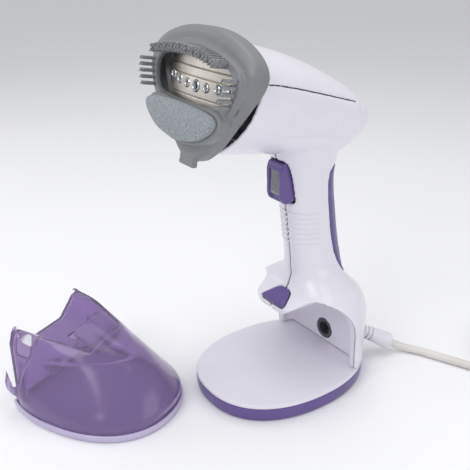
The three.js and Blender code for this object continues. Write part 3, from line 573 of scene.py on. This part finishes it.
casing = {
    "wall": 2.4, "gap": 0.3, "foot": 15.3,
    # level sections of the column: height, middle, half width, front and rear
    "shoulder": [
        (15.3, 0, 58.3, 60, 76), (35, 0, 58.2, 56, 76), (52, 8, 57, 46, 67.4), (62, 16, 54.5, 36, 58.6),
        (69, 20, 51.5, 34.5, 52.4), (75, 22, 48.5, 36, 47.6), (79, 23, 45.5, 29, 43),
        (83, 24, 41, 22.6, 37.5), (88, 26, 34, 21.8, 31), (94, 28, 26, 22, 26.4),
        (102, 29, 21.2, 22.4, 24.8), (112, 28, 19.6, 22.2, 24),
    ],
    # level sections of the handle: height, middle, half width, half depth
    "handle": [
        (98, 29.4, 20.6, 23.6), (110, 28.2, 19.5, 23.4), (130, 24.7, 19, 22.8), (150, 21.6, 19, 22.4),
        (168, 18.4, 19.2, 22.8), (184, 16.4, 20, 24.4), (200, 15.5, 23, 29), (216, 17, 26, 33),
    ],
    # sections of the barrel from its tail: place along the axis, top, underside, half width, taper
    "barrel": [
        (-97.5, -2, -11, 8, 0), (-94, 1, -17.5, 16, 0), (-85, 5.5, -28, 23.6, 0),
        (-71.5, 10.8, -36.5, 29.6, 0.04), (-66.5, 15, -38, 31.4, 0.05), (-35, 25, -40, 37.5, 0.1),
        (-7, 31.6, -40.3, 42, 0.17), (20, 35.4, -40.6, 46.2, 0.24), (44, 37, -41, 49.6, 0.3),
    ],
}
wall, gap = casing["wall"], casing["gap"]


def squareness(value, power):
    return (1 if value > 0 else -1) * abs(value) ** (2 / power)


def ovalPoint(angle, half, front, rear, frontPower=2.3, rearPower=2.1):
    ahead = cos(angle) > 0
    power = frontPower if ahead else rearPower
    return half * squareness(sin(angle), power), -(front if ahead else rear) * squareness(cos(angle), power)


def shoulderSolid(name, inset, low=casing["foot"]):
    def pointOf(row, angle):
        z, middle, half, front, rear = row
        x, y = ovalPoint(angle, half - inset, front - inset, rear - inset)
        drop = 0.6 * inset if 66 < z < 100 else 0
        return x, middle + y, z - drop
    rows = [(low, *casing["shoulder"][0][1:])] + casing["shoulder"][1:]
    return meshObject(name, loft(rows, pointOf, 120, 4))


def handleSolid(name, inset):
    def pointOf(row, angle):
        z, middle, half, depth = row
        x, y = ovalPoint(angle, half - inset, depth - inset, depth - inset, 2.2, 2.2)
        return x, middle + y, z
    return meshObject(name, loft(casing["handle"], pointOf, 120, 4))


def barrelSolid(name, inset, front=44):
    def pointOf(row, angle):
        d, top, low, half, taper = row
        tall = (top - low) / 2 - inset
        x, u = ovalPoint(angle, half - inset, tall, tall, 2.25, 2.25)
        widen = 1 + taper * u / tall - taper * 0.45 * (u / tall) ** 2
        return headFrame @ Vector((x * widen, (top + low) / 2 + u, d))
    rows = list(casing["barrel"])
    rows[0] = (rows[0][0] + inset, *rows[0][1:])
    rows[-1] = (front, *rows[-1][1:])
    return meshObject(name, loft(rows, pointOf, 120, 5))


def casingSolid(name, inset):
    low, front = (8, 50) if inset > 0 else (casing["foot"], 44)  # the hollow runs out at both ends
    body = shoulderSolid(name, inset, low)
    return united(body, handleSolid("handle", inset), barrelSolid("barrel", inset, front))


bay = {
    "backY": 48, "half": 43.5, "latchHalf": 15, "latchZ": 69, "rampEnd": 32, "ceilingZ": 83, "low": 14,
    # the arch's edge: y and share of the height
    "slope": [(37.5, 0), (34.5, 0.5), (31, 0.68), (25, 0.82), (15, 0.94), (3, 1)],
}


def ceilingAt(x):
    share = min(max((abs(x) - bay["latchHalf"]) / (bay["rampEnd"] - bay["latchHalf"]), 0), 1)
    return bay["latchZ"] + share * (bay["ceilingZ"] - bay["latchZ"])


def archSolid(grow):
    # all that lies in front of the side arches and below the ceiling
    stations = [-75, -60, -44, -38, -32, -28, -24, -20, -15, -8, 0, 8, 15, 20, 24, 28, 32, 38, 44, 60, 75]
    low = bay["low"] - grow
    steps = 5
    last = (len(bay["slope"]) - 1) * steps

    def place(level, k):
        x = stations[level]
        high = ceilingAt(x)
        if k <= last:
            y, share = between(bay["slope"], k / steps)
            z = low + share * (high - low)
        else:
            y, z = -130, (high if k == last + 1 else low)
        return x, y + grow, z + (grow if z > low + 0.01 else 0)
    return meshObject("arch", skin(len(stations), last + 3, place))


def pocketSolid(grow):
    edge = bay["half"] + grow
    stations = [-edge, -32, -28, -24, -20, -15, 0, 15, 20, 24, 28, 32, edge]
    low, back = bay["low"] - grow, bay["backY"] + grow

    def place(level, k):
        high = ceilingAt(stations[level]) - 1 + grow
        return (stations[level], *[(back, low), (back, high), (-30, high), (-30, low)][k])
    return meshObject("pocket", skin(len(stations), 4, place))


button = {"front": 14, "rear": 8.5, "frontY": -14.6, "rearY": 1.5, "low": 74.6}


def buttonSolid(grow):
    s = button
    front, rear, back = s["front"] + grow, s["rear"] + grow, s["rearY"] + grow
    half = [(front, s["frontY"] - 6), (front, -11), (rear, back - 2.5), (rear - 3, back)]
    outline = half + [(-x, y) for x, y in reversed(half)]
    return meshObject("button", slab(rounded(outline, 2), s["low"] - 3.5 * grow, 95))


# the grip wraps round the back of the handle, cut off in front by a plane that leans with it
strip = {"half": 18, "low": 90, "high": 187, "corner": 6, "proud": 0.4, "depth": 1.2}


def stripSolid(grow):
    s = strip
    half, low, high = s["half"] + grow, s["low"] - grow, s["high"] + grow
    outline = rounded(rectangle(-half, half, low, high), s["corner"])
    behind = [(35.5 - grow, 80), (90, 80), (90, 200), (17.4 - grow, 200)]
    return within(meshObject("strip", slab(outline, -90, 0, rearFrame)),
                  meshObject("behind", slab(behind, -40, 40, sideFrame)))


def coverSolid(grow):
    seam = [
        (60, 15.4 - grow), (28, 14.8 - grow), (6, 12.9 - grow), (-16, 10.4 - grow),
        (-68 - grow, 4 - grow), (-68 - grow, 50), (60, 60),
    ]
    return meshObject("cover", slab(seam, -80, 80, coverFrame))


def rodObject(start, end, radius):
    return meshObject("rod", rod(start, end, radius))


def boxObject(x0, x1, y0, y1, z0, z1):
    return meshObject("box", block((x0, y0, z0), (x1, y1, z1)))


holes = {
    # the trigger's slot, then the radii round the screws and the cord's relief
    "slot": (-9.53, 9.53, 160.1, 195.7), "slotCorner": 3.1, "slotDepth": 11.7, "screw": 3.1, "bush": 6.4,
    "screws": [(-52, 218, 28), (50, 210, 18)],  # the ones that the grip does not hide
}
panel = {
    # the sunk panel on each side of the barrel: along the axis and up it
    "outline": [(4, 3.4), (-45, -2.6), (-43, -21.5), (20, -23), (12, -8)],
    "round": 6, "depth": 1.3, "edge": 1.8,
}


def outlineDistance(outline, x, y):
    # distance to an outline, positive inside it
    best, inside = 1e9, False
    for i, (x1, y1) in enumerate(outline):
        x0, y0 = outline[i - 1]
        dx, dy = x1 - x0, y1 - y0
        length = dx * dx + dy * dy
        t = 0 if length == 0 else min(max(((x - x0) * dx + (y - y0) * dy) / length, 0), 1)
        best = min(best, hypot(x - x0 - t * dx, y - y0 - t * dy))
        if (y0 > y) != (y1 > y) and x < (x1 - x0) * (y - y0) / (y1 - y0) + x0:
            inside = not inside
    return best if inside else -best


def sinkPanel(obj):
    outline = rounded(panel["outline"], panel["round"])
    back = headFrame.inverted()
    for v in obj.data.vertices:
        x, u, d = back @ (v.co / mm)
        if abs(x) < 24 or not (-48 < d < 24 and -27 < u < 8) or v.normal.x * x < 0.25 * abs(x):
            continue
        t = min(max(outlineDistance(outline, d, u) / panel["edge"], 0), 1)
        v.co.x -= (1 if x > 0 else -1) * panel["depth"] * mm * t * t * (3 - 2 * t)


def handleAt(z):
    # middle, half width and half depth of the handle at a height
    rows, level = casing["handle"], 0
    while between(rows, level)[0] < z:
        level += 0.02
    return between(rows, level)[1:]


ribs = {"first": 125.5, "pitch": 4.4, "count": 7, "radius": 0.62, "reach": 84}


def addRibs(bm, side):
    # thin raised ribs round the front of the grip, stopped at the seam
    for i in range(ribs["count"]):
        z = ribs["first"] + i * ribs["pitch"]
        middle, half, depth = handleAt(z)
        levels = 26

        def place(level, k):
            share = level / (levels - 1)
            angle = radians(0.8 + (ribs["reach"] - 0.8) * share) * side
            radius = ribs["radius"] * min(1, 6 * (1 - share) + 0.05)
            around = 2 * pi * k / 8
            x, y = ovalPoint(angle, half + radius * cos(around) * 0.9, depth + radius * cos(around) * 0.9,
                             depth, 2.2, 2.2)
            return x, middle + y, z + radius * sin(around)
        addTo(bm, skin(levels, 8, place))
    return bm


def makeCasing():
    shell = without(casingSolid("casing", 0), casingSolid("hollow", wall))
    wholeShell = twin(shell)
    room = within(pocketSolid(gap + wall), shoulderSolid("inside", wall))
    slot = rounded(rectangle(*holes["slot"]), holes["slotCorner"])
    slot = meshObject("slot", slab(slot, -holes["slotDepth"], 30, rearFrame))
    groove = without(stripSolid(gap), casingSolid("grooveFloor", strip["depth"] + gap))
    shell = without(shell, archSolid(0), room, slot, buttonSolid(0.4), groove)
    print("casing cut")

    cover = within(twin(shell), coverSolid(0))
    near = without(shell, coverSolid(gap), boxObject(-90, gap / 2, -150, 150, -10, 330))
    far = twin(near)
    far.data.transform(Matrix.Scale(-1, 4, (1, 0, 0)))
    far.data.flip_normals()
    for y, z, half in holes["screws"]:
        far = without(far, rodObject((-half - 12, y, z), (-9, y, z), holes["screw"]))
    way = Vector(bushSettings["way"]).normalized()
    root = Vector(bushSettings["root"])
    near = without(near, rodObject(root - way * 20, root + way * 20, holes["bush"]))
    for side, half in ((-1, far), (1, near)):
        moulded(half, 1.15, 6)
        sinkPanel(half)
        bm = bmesh.new()
        bm.from_mesh(half.data)
        grip = addRibs(bmesh.new(), side)
        bmesh.ops.scale(grip, vec=(mm, mm, mm), verts=grip.verts)
        addTo(bm, grip)
        bm.to_mesh(half.data)
        bm.free()
    far.name, near.name = "casing_half_far", "casing_half_near"
    finished(far, "stand", "white_casing", whiteAbs, farNode)
    finished(near, "stand", "white_casing", whiteAbs, nearNode)
    cover.name = "barrel_cover"
    finished(moulded(cover, 1.0, 6), "stand", "white_casing", whiteAbs, "top_cover")

    band = without(casingSolid("grip_strip", -strip["proud"]), casingSolid("under", strip["depth"]))
    band = within(band, stripSolid(0))
    finished(moulded(band, 0.5, 4), "stand", "purple_trim", purpleAbs, "handle_strip")
    cap = within(wholeShell, buttonSolid(0))
    cap.name = "release_cap"
    inside = united(
        within(boxObject(-5, 5, -9, 17, 72.4, 75.4), casingSolid("under", wall + 0.4)),
        rodObject((-6.4, -2, 74.6), (6.4, -2, 74.6), 2.8),
        within(boxObject(-4, 4, -8, -2, 73, 90), casingSolid("under", 1)),
        meshObject("hook", slab([(13, 75), (17, 75), (17, 66.4), (13, 63.4)], -4.4, 4.4, sideFrame)))
    cap = united(cap, inside)
    finished(moulded(cap, 0.6, 4), "release_button", "purple_trim", purpleAbs, "release_button")


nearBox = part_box("right_housing")
nearNode, farNode = "right_housing", "left_housing"
if nearBox[1][0] <= 0.02:
    nearNode, farNode = farNode, nearNode


def makeLiner():
    inside = wall + gap
    room = united(archSolid(wall), pocketSolid(wall))
    room = within(room, shoulderSolid("inside", inside))
    pocket = within(pocketSolid(0), shoulderSolid("deep", inside + wall, 8))
    liner = without(room, archSolid(0), pocket, boxObject(-6, 6, 12, 18.4, 60, 80),
                    rodObject((0, 40, 27), (0, 60, 27), 9.4))
    for x in (-9.5, 9.5):
        liner = united(liner, boxObject(x - 1.5, x + 1.5, -4.4, 0.4, 70, 76))
    liner.name = "bay_panel"
    finished(moulded(liner, 1.0, 5), "stand", "white_casing", satinAbs, "bay_liner")


makeCasing()
print("casing ready")
makeLiner()
print("bay ready")

# base

base = {
    "half": 58.5, "length": 76,
    "band": [(0, 2.6), (0.5, 1.7), (2, 0.8), (6, 0.2), (11.4, 0), (12, 0.4)],
    "tray": [(12.3, 0.5), (12.6, 0.1), (13.6, 0.1), (14.4, 0.5), (14.8, 1.1), (15, 2.2)],
    "feet": [(34, -40), (-34, -40), (34, 44), (-34, 44)], "screws": [(0, -58), (44, 10), (-44, 10)],
}


def baseSolid(name, rows, inset=0):
    def pointOf(row, angle):
        less = row[1] + inset
        x, y = ovalPoint(angle, base["half"] - less, base["length"] - less, base["length"] - less)
        return x, y, row[0]
    return meshObject(name, loft(rows, pointOf, 180, 3))


def makeBase():
    band = without(baseSolid("base_rim", base["band"]), baseSolid("hollow", [(3, 0), (16, 0)], 2.8))
    for x, y in base["feet"]:
        band = without(band, rodObject((x, y, -1), (x, y, 2), 6.4))
    for x, y in base["screws"]:
        band = without(band, rodObject((x, y, -1), (x, y, 4), 3.4))
    finished(sharpShading(band, 40), "stand", "purple_trim", purpleAbs, "base_band")
    tray = baseSolid("base_plate", base["tray"])
    finished(sharpShading(tray, 50), "stand", "white_casing", satinAbs, "base_tray")


makeBase()
print("base ready")

# trigger and its lock

trigger = {"half": 9, "low": 161, "high": 195, "front": -14, "pin": (-3, 198.5)}
lock = {"half": 5.4, "low": 168.5, "high": 187.5, "travel": 4}


def makeTrigger():
    s, t = trigger, lock
    f, lo, hi = s["front"], s["low"], s["high"]
    face = [(3, hi), (-9, hi), (-12.6, hi - 1.6), (f, hi - 7), (f + 0.3, (lo + hi) / 2), (f + 0.6, lo + 7),
            (f + 2.2, lo + 2.4), (-8, lo + 0.2), (-3, lo + 0.6), (3, lo + 3)]
    body = meshObject("trigger_lever", slab(rounded(face, 2), -s["half"], s["half"], sideFrame))
    y, z = s["pin"]
    body = united(body, rodObject((-9, y, z), (9, y, z), 3.2), boxObject(-6, 6, y - 2.4, y + 3, 190, z),
                  boxObject(-3, 3, 0, 3.4, 175, 180))
    half, bottom, top = t["half"] + gap, t["low"] - t["travel"] - gap, t["high"] + gap
    pocket = slab(rounded(rectangle(-half, half, bottom, top), 1), -f - 3.4, 20, rearFrame)
    body = without(body, meshObject("pocket", pocket), rodObject((-12, y, z), (12, y, z), 1.65),
                   rodObject((0, -6, 167), (0, 8, 167), 4.2))
    finished(moulded(body, 0.55, 6), "trigger", "purple_trim", purpleAbs, "trigger")

    outline = rounded(rectangle(-t["half"], t["half"], t["low"], t["high"]), 1)
    plate = slab(outline, -f - 3.1, -f - 1.4, rearFrame)
    for i in range(9):
        low = t["low"] + 2.2 + i * 1.75
        addTo(plate, slab(rectangle(-4, 4, low, low + 0.8), -f - 1.45, -f - 0.9, rearFrame))
    slider = meshObject("lock_slider", plate)
    worked(slider, ("BEVEL", {"width": 0.25 * mm, "segments": 2, "limit_method": "ANGLE"}))
    finished(sharpShading(slider, 40), "trigger_lock", "grey_trim", greyInset, "trigger_lock")


makeTrigger()
print("trigger ready")

# steam head

face = {
    # right sides of the face's outlines, from the top down
    "collar": [
        (0, 44), (20, 42.6), (38, 38), (52, 31), (60, 22), (58.6, 12), (50, 0), (38, -15), (25, -31),
        (11, -42.6), (0, -45.6),
    ],
    "rim": [
        (0, 33.6), (20, 31.4), (36, 27.4), (49.4, 21.6), (53.4, 13), (50.4, 3), (43.6, -7), (30, -14),
        (0, -15.5),
    ],
    "window": [(0, 23.6), (22, 23), (38, 21), (45, 14), (44.6, 4), (38.6, -3.4), (20, -5.4), (0, -5.8)],
    "pad": [(0, -5.4), (26, -6.4), (38, -8.6), (41.4, -13), (36, -20), (22, -27.4), (0, -30.6)],
}


def stack(name, side, rows, count=180):
    # an outline drawn through rows of (distance out of the face, inset)
    rings = [mirrored(side, inset, count) for d, inset in rows]
    def place(level, k):
        return headFrame @ Vector((*rings[level][k], rows[level][0]))
    return meshObject(name, skin(len(rows), count, place))


def faceSlab(name, side, inset, low, high):
    return stack(name, side, [(low, inset), (high, inset)])


plateSize = {"half": 43, "low": -9, "high": 24, "front": 58.5, "bow": 6, "thick": 3}
nozzleRow = {"u": 5, "pitch": 11.2, "middle": 3.4, "others": 2.5}


def plateFront(x):
    return plateSize["front"] - plateSize["bow"] * (x / plateSize["half"]) ** 2


def makePlate():
    s = plateSize
    ledges = [(-2.5, -1, 0.7), (10.5, 1, 0.7), (16.5, 1, 0.7)]  # height, side that drops, drop

    def depthAt(u):
        drop = 0
        for at, side, deep in ledges:
            drop += deep / (1 + exp(-(u - at) * side / 0.12))
            drop += 0.9 * exp(-((u - at) / 0.34) ** 2)
        return drop
    spots = []
    for step in range(-3, 4):
        r = nozzleRow["middle"] if step == 0 else nozzleRow["others"]
        spots.append((step * nozzleRow["pitch"], nozzleRow["u"] + 0.34 * step * step, r))
    bm = bmesh.new()
    bmesh.ops.create_grid(bm, x_segments=150, y_segments=120, size=1)
    tall, middle = (s["high"] - s["low"]) / 2, (s["high"] + s["low"]) / 2
    for v in bm.verts:
        u = middle + v.co.y * tall
        v.co = (v.co.x * (s["half"] - max(0, 2 - u) * 0.9), u, 0)
    holes = [v for v in bm.verts if any(hypot(v.co.x - x, v.co.y - u) < r + 0.25 for x, u, r in spots)]
    bmesh.ops.delete(bm, geom=holes, context="VERTS")
    for v in bm.verts:
        x, u = v.co.x, v.co.y
        v.co = headFrame @ Vector((x, u, plateFront(x) - depthAt(u)))
    plate = meshObject("steam_face", bm)
    worked(plate, ("SOLIDIFY", {"thickness": s["thick"] * mm, "offset": -1}))
    nozzles = bmesh.new()
    for x, u, r in spots:
        front = plateFront(x)
        profile = [
            (0, 0.1), (r - 1, 0.1), (r - 1, 0.86), (r - 0.6, 0.97), (r - 0.1, 1), (r + 0.6, 0.95),
            (r + 0.9, 0.86), (r + 0.9, 0.83), (r, 0.82), (r, 0), (0, 0),
        ]
        foot, tip = (headFrame @ Vector((x, u, front + way)) for way in (-5.2, 0.9))
        addTo(nozzles, turned(profile, foot, tip, 32))
    finished(sharpShading(plate, 30), "stand", "coated_plate", plateCoat, "steam_plate")
    nozzles = sharpShading(meshObject("steam_nozzles", nozzles), 40)
    finished(nozzles, "stand", "bright_steel", brightSteel, "nozzle_strip")
    sleeve = faceSlab("nozzle_sleeve", face["collar"], 5.4, 44.3, 53.4)
    sleeve = without(sleeve, faceSlab("inner", face["collar"], 9, 40, 60))
    worked(sleeve, ("BEVEL", {
        "width": 0.5 * mm, "segments": 2, "limit_method": "ANGLE", "angle_limit": radians(50)}))
    finished(sharpShading(sleeve, 40), "stand", "grey_trim", greyPolypropylene, "nozzle_frame")


def makeBrushFrame():
    body = stack("brush_collar", face["collar"], [
        (46.3, 0.7), (47, 0.1), (55.6, 0), (57.4, 0.5), (59.2, 2.6), (60, 4.4)])
    rim = stack("rim", face["rim"], [(58.8, -1.6), (59.8, -1.2), (61, 0), (62.6, 0.3), (63, 0.8)])
    bar = stack("bar", face["pad"], [(59, -2.4), (66.8, -2.4), (67.6, -1.6)])
    opening = faceSlab("opening", face["window"], 0, 50, 70)
    united(body, rim)
    without(body, faceSlab("hollow", face["collar"], 4.8, 40, 54),
            faceSlab("cavity", face["rim"], 0.6, 50, 58.9), twin(opening))
    bar = without(bar, opening)
    tab = meshObject("tab", slab([(-8, -41), (8, -41), (9, -49), (-9, -49)], 55, 59.4, headFrame))
    united(body, bar, tab)
    finished(moulded(body, 0.75, 5), "brush", "grey_trim", greyPolypropylene, "brush_frame")


bristles = {
    # root is the distance out of the face; the row of tufts follows the rim's bow
    "root": 63.2, "filament": 0.3, "spacing": 0.75, "pitch": 4.1, "length": 11, "row": 28.4, "bow": 4.6,
}


def tuft(bm, x, u, wide, tall, long, lean):
    # a bundle of cut filaments, close at the root and a little open at the tip
    s = bristles
    core = rectangle(-wide * 0.8, wide * 0.8, -tall * 0.85, tall * 0.85)
    piece = slab(rounded(core, wide * 0.5, 3), 0, long - 1.2)
    columns, rows = max(2, round(wide * 2 / s["spacing"])), max(2, round(tall * 2 / s["spacing"]))
    for i in range(columns):
        for j in range(rows):
            cx, cy = -wide + (i + 0.5) * 2 * wide / columns, -tall + (j + 0.5) * 2 * tall / rows
            reach = long - 0.5 * ((i * 7 + j * 5) % 4)
            r = s["filament"]
            addTo(piece, slab([(cx - r, cy), (cx, cy - r), (cx + r, cy), (cx, cy + r)], 0, reach))
    for v in piece.verts:
        share = v.co.z / long
        v.co.x = x + v.co.x * (1 + 0.1 * share) + lean[0] * share
        v.co.y = u + v.co.y * (1 + 0.08 * share) + lean[1] * share
        v.co.z += s["root"]
    bmesh.ops.transform(piece, matrix=headFrame, verts=piece.verts)
    return addTo(bm, piece)


def makeBristles():
    s = bristles
    bm = bmesh.new()
    for i in range(-9, 10):
        x = i * s["pitch"]
        tuft(bm, x, s["row"] - s["bow"] * (x / 37) ** 2, 1.25, 2.7, s["length"] + 0.4 * (i % 2), (0, 0))
    for side in (-1, 1):
        for i in range(5):
            tuft(bm, side * (49.4 - 0.28 * i * i), 15.6 - i * 4.2, 1.6, 1.25, s["length"], (0, 0))
    tufts = sharpShading(meshObject("bristle_tufts", bm), 30)
    finished(tufts, "brush", "comb_teeth", nylonBristle, "comb_strip")


# the pile's spikes, drawn about three times as thick as real pile so that they show
pileSettings = {"rows": 24, "top": -6, "rowPitch": 1.04, "pitch": 0.98, "radius": 0.42, "root": 71.0}


def makeLintPad():
    s = pileSettings
    rows = [(67.9, 0), (70.2, 0), (71.2, 0.5), (71.8, 1.4)]
    bed = stack("lint_bed", face["pad"], rows)
    bm = bmesh.new()
    outline = mirrored(face["pad"], 1.0, 80)
    # short leaning pile in close rows
    for row in range(s["rows"]):
        u = s["top"] - row * s["rowPitch"]
        for column in range(-42, 43):
            x = column * s["pitch"] + s["pitch"] / 2 * (row % 2)
            if outlineDistance(outline, x, u) < 0.1:
                continue
            length = 1.0 + 0.35 * ((row * 5 + column * 3) % 4) / 3
            lean = 0.9 + 0.5 * (((row + column) * 7) % 5) / 4
            r = s["radius"]
            spike = bmesh.new()
            foot = [spike.verts.new((x + r * cos(a), u + r * sin(a), s["root"])) for a in (0, 2.1, 4.2)]
            tip = spike.verts.new((x + 0.25 * ((column * 3 + row) % 3 - 1), u - lean, 71.1 + length * 0.8))
            for a, b in zip(foot, foot[1:] + foot[:1]):
                spike.faces.new((a, b, tip))
            addTo(bm, spike)
    bmesh.ops.transform(bm, matrix=headFrame, verts=bm.verts)
    pile = meshObject("lint_pile", bm)
    finished(bed, "brush", "lint_fabric", padCloth, "lint_pad")
    finished(sharpShading(pile, 20), "brush", "lint_fabric", padPile)


makePlate()
makeBrushFrame()
makeBristles()
makeLintPad()
print("head ready")

# tank, drawn in its own frame and set down turned beside the stand

tank = {
    # level sections: height, middle, front, half width, squareness
    "rows": [
        (2.5, 0, 73.2, 55.2, 2.3), (7.4, 0, 73.2, 55.2, 2.3), (14, 6, 75.2, 55.4, 2.2),
        (22, 22, 72.4, 54.4, 2), (30, 36, 67, 52.5, 1.9), (41, 44, 56.5, 48, 1.8),
        (49, 46, 45, 45.4, 1.75), (56, 46, 35, 43.2, 1.7), (62, 46, 22, 41, 1.7),
        (66, 46, 13, 39.6, 1.7), (70, 46, 3, 36.4, 1.7),
    ],
    "rear": 76, "rearCut": 46, "wall": 2, "clear": 0.7, "at": (-68, -144, 0), "turn": 116,
    "filler": (-39.5, 33), "fillerRadius": 6.4, "spoutHeight": 11.7, "spoutRadius": 5.4,
    "dishHalf": 57, "dishLength": 75,
}
tankPlace = Matrix.Translation(tank["at"]) @ Matrix.Rotation(radians(tank["turn"]), 4, "Z")


def tankSolid(name, inset):
    def pointOf(row, angle):
        z, middle, front, half, power = row
        x, y = ovalPoint(angle, half - inset, middle + front - inset, tank["rear"], power)
        return x, middle + y, z - (inset * 0.8 if z > 50 else 0)
    rows = list(tank["rows"])
    if inset:
        rows[0] = (1.5, *rows[0][1:])
    body = meshObject(name, loft(rows, pointOf, 140, 4))
    edge = tank["rearCut"] - inset
    return within(body, boxObject(-90, 90, -120, edge, -1, 90))


def casingRoom(clear):
    # the stand's underside, which the tank's top is cut to match, moved down by the foot
    body = without(shoulderSolid("column", -clear), archSolid(-clear), pocketSolid(-clear))
    body.data.transform(Matrix.Translation((0, 0, -casing["foot"] * mm)))
    return body


def setDown(obj):
    # from the tank's own frame to where it stands
    obj.data.transform(Matrix.LocRotScale(tankPlace.translation * mm, tankPlace.to_quaternion(), None))
    return obj


def makeTank():
    room = casingRoom(tank["clear"])
    outer = without(tankSolid("water_tank", 0), room)
    s = tank["wall"]
    inner = without(tankSolid("hollow", s), casingRoom(tank["clear"] + s))
    without(outer, inner)
    without(outer, boxObject(-5.5, 5.5, 11, 19.6, 47.4, 80))  # what the latch hook drops into
    x, y = tank["filler"]
    without(outer, rodObject((x, y, 50), (x, y, 80), tank["fillerRadius"]))
    z = tank["spoutHeight"]
    without(outer, rodObject((0, 40, z), (0, 60, z), tank["spoutRadius"]))
    setDown(moulded(outer, 0.9, 5))
    finished(outer, "tank", "tinted_tank", tankTint, "tank_shell")
    print("tank shell ready")


def makeTankFloor():
    def pointOf(row, angle):
        length = tank["dishLength"] - row[1]
        x, y = ovalPoint(angle, tank["dishHalf"] - row[1], length, length)
        return x, y, row[0]
    rows = [(0, 2.2), (0.5, 1.2), (2, 0.3), (5.6, 0), (6.1, 0.3), (6.5, 1.2)]
    dish = meshObject("tank_dish", loft(rows, pointOf, 160, 3))
    within(dish, boxObject(-90, 90, -120, 46.6, -1, 20))
    rows = [(2.4, 2.1), (4, 1.9), (9, 1.9)]
    hollow = meshObject("hollow", loft(rows, pointOf, 160, 2))
    without(dish, within(hollow, boxObject(-90, 90, -120, 44.8, -1, 20)))
    setDown(moulded(dish, 0.8, 3))
    finished(dish, "tank", "tank_floor", tankFloor, "tank_base")


makeTank()
makeTankFloor()
print("tank ready")

# room and light


def makeRoom():
    bm = bmesh.new()
    bmesh.ops.create_grid(bm, x_segments=2, y_segments=2, size=6000)
    floor = meshObject("floor", bm)
    ground = newMaterial("white_sweep")
    shader = addNode(ground, "ShaderNodeBsdfPrincipled", {}, {
        "Base Color": (0.92, 0.92, 0.93, 1), "Roughness": 0.9, "Specular IOR Level": 0.1})
    closeMaterial(ground, shader)
    floor.data.materials.append(ground)
    floor.location.z = -0.0002
    world = bpy.data.worlds.new("studio")
    world.use_nodes = True
    world.node_tree.nodes["Background"].inputs["Color"].default_value = (0.93, 0.94, 0.97, 1)
    world.node_tree.nodes["Background"].inputs["Strength"].default_value = 0.62
    bpy.context.scene.world = world
    bpy.context.scene.view_settings.view_transform = "Standard"
    # name, place in metres, size, power
    lamps = [
        ("key", (0.2, -0.75, 0.85), 0.55, 3.2), ("top", (-0.1, 0.1, 1.15), 0.9, 4.0),
        ("side", (0.95, 0.25, 0.45), 0.6, 1.6), ("left", (-0.9, -0.6, 0.5), 0.6, 1.4),
    ]
    for name, at, size, power in lamps:
        light = bpy.data.lights.new(name, "AREA")
        light.size, light.energy = size, power
        lamp = bpy.data.objects.new(name, light)
        lamp.location = at
        lamp.rotation_euler = (Vector((0, -0.02, 0.12)) - Vector(at)).to_track_quat("-Z", "Y").to_euler()
        bpy.context.collection.objects.link(lamp)


makeRoom()
print("room ready")
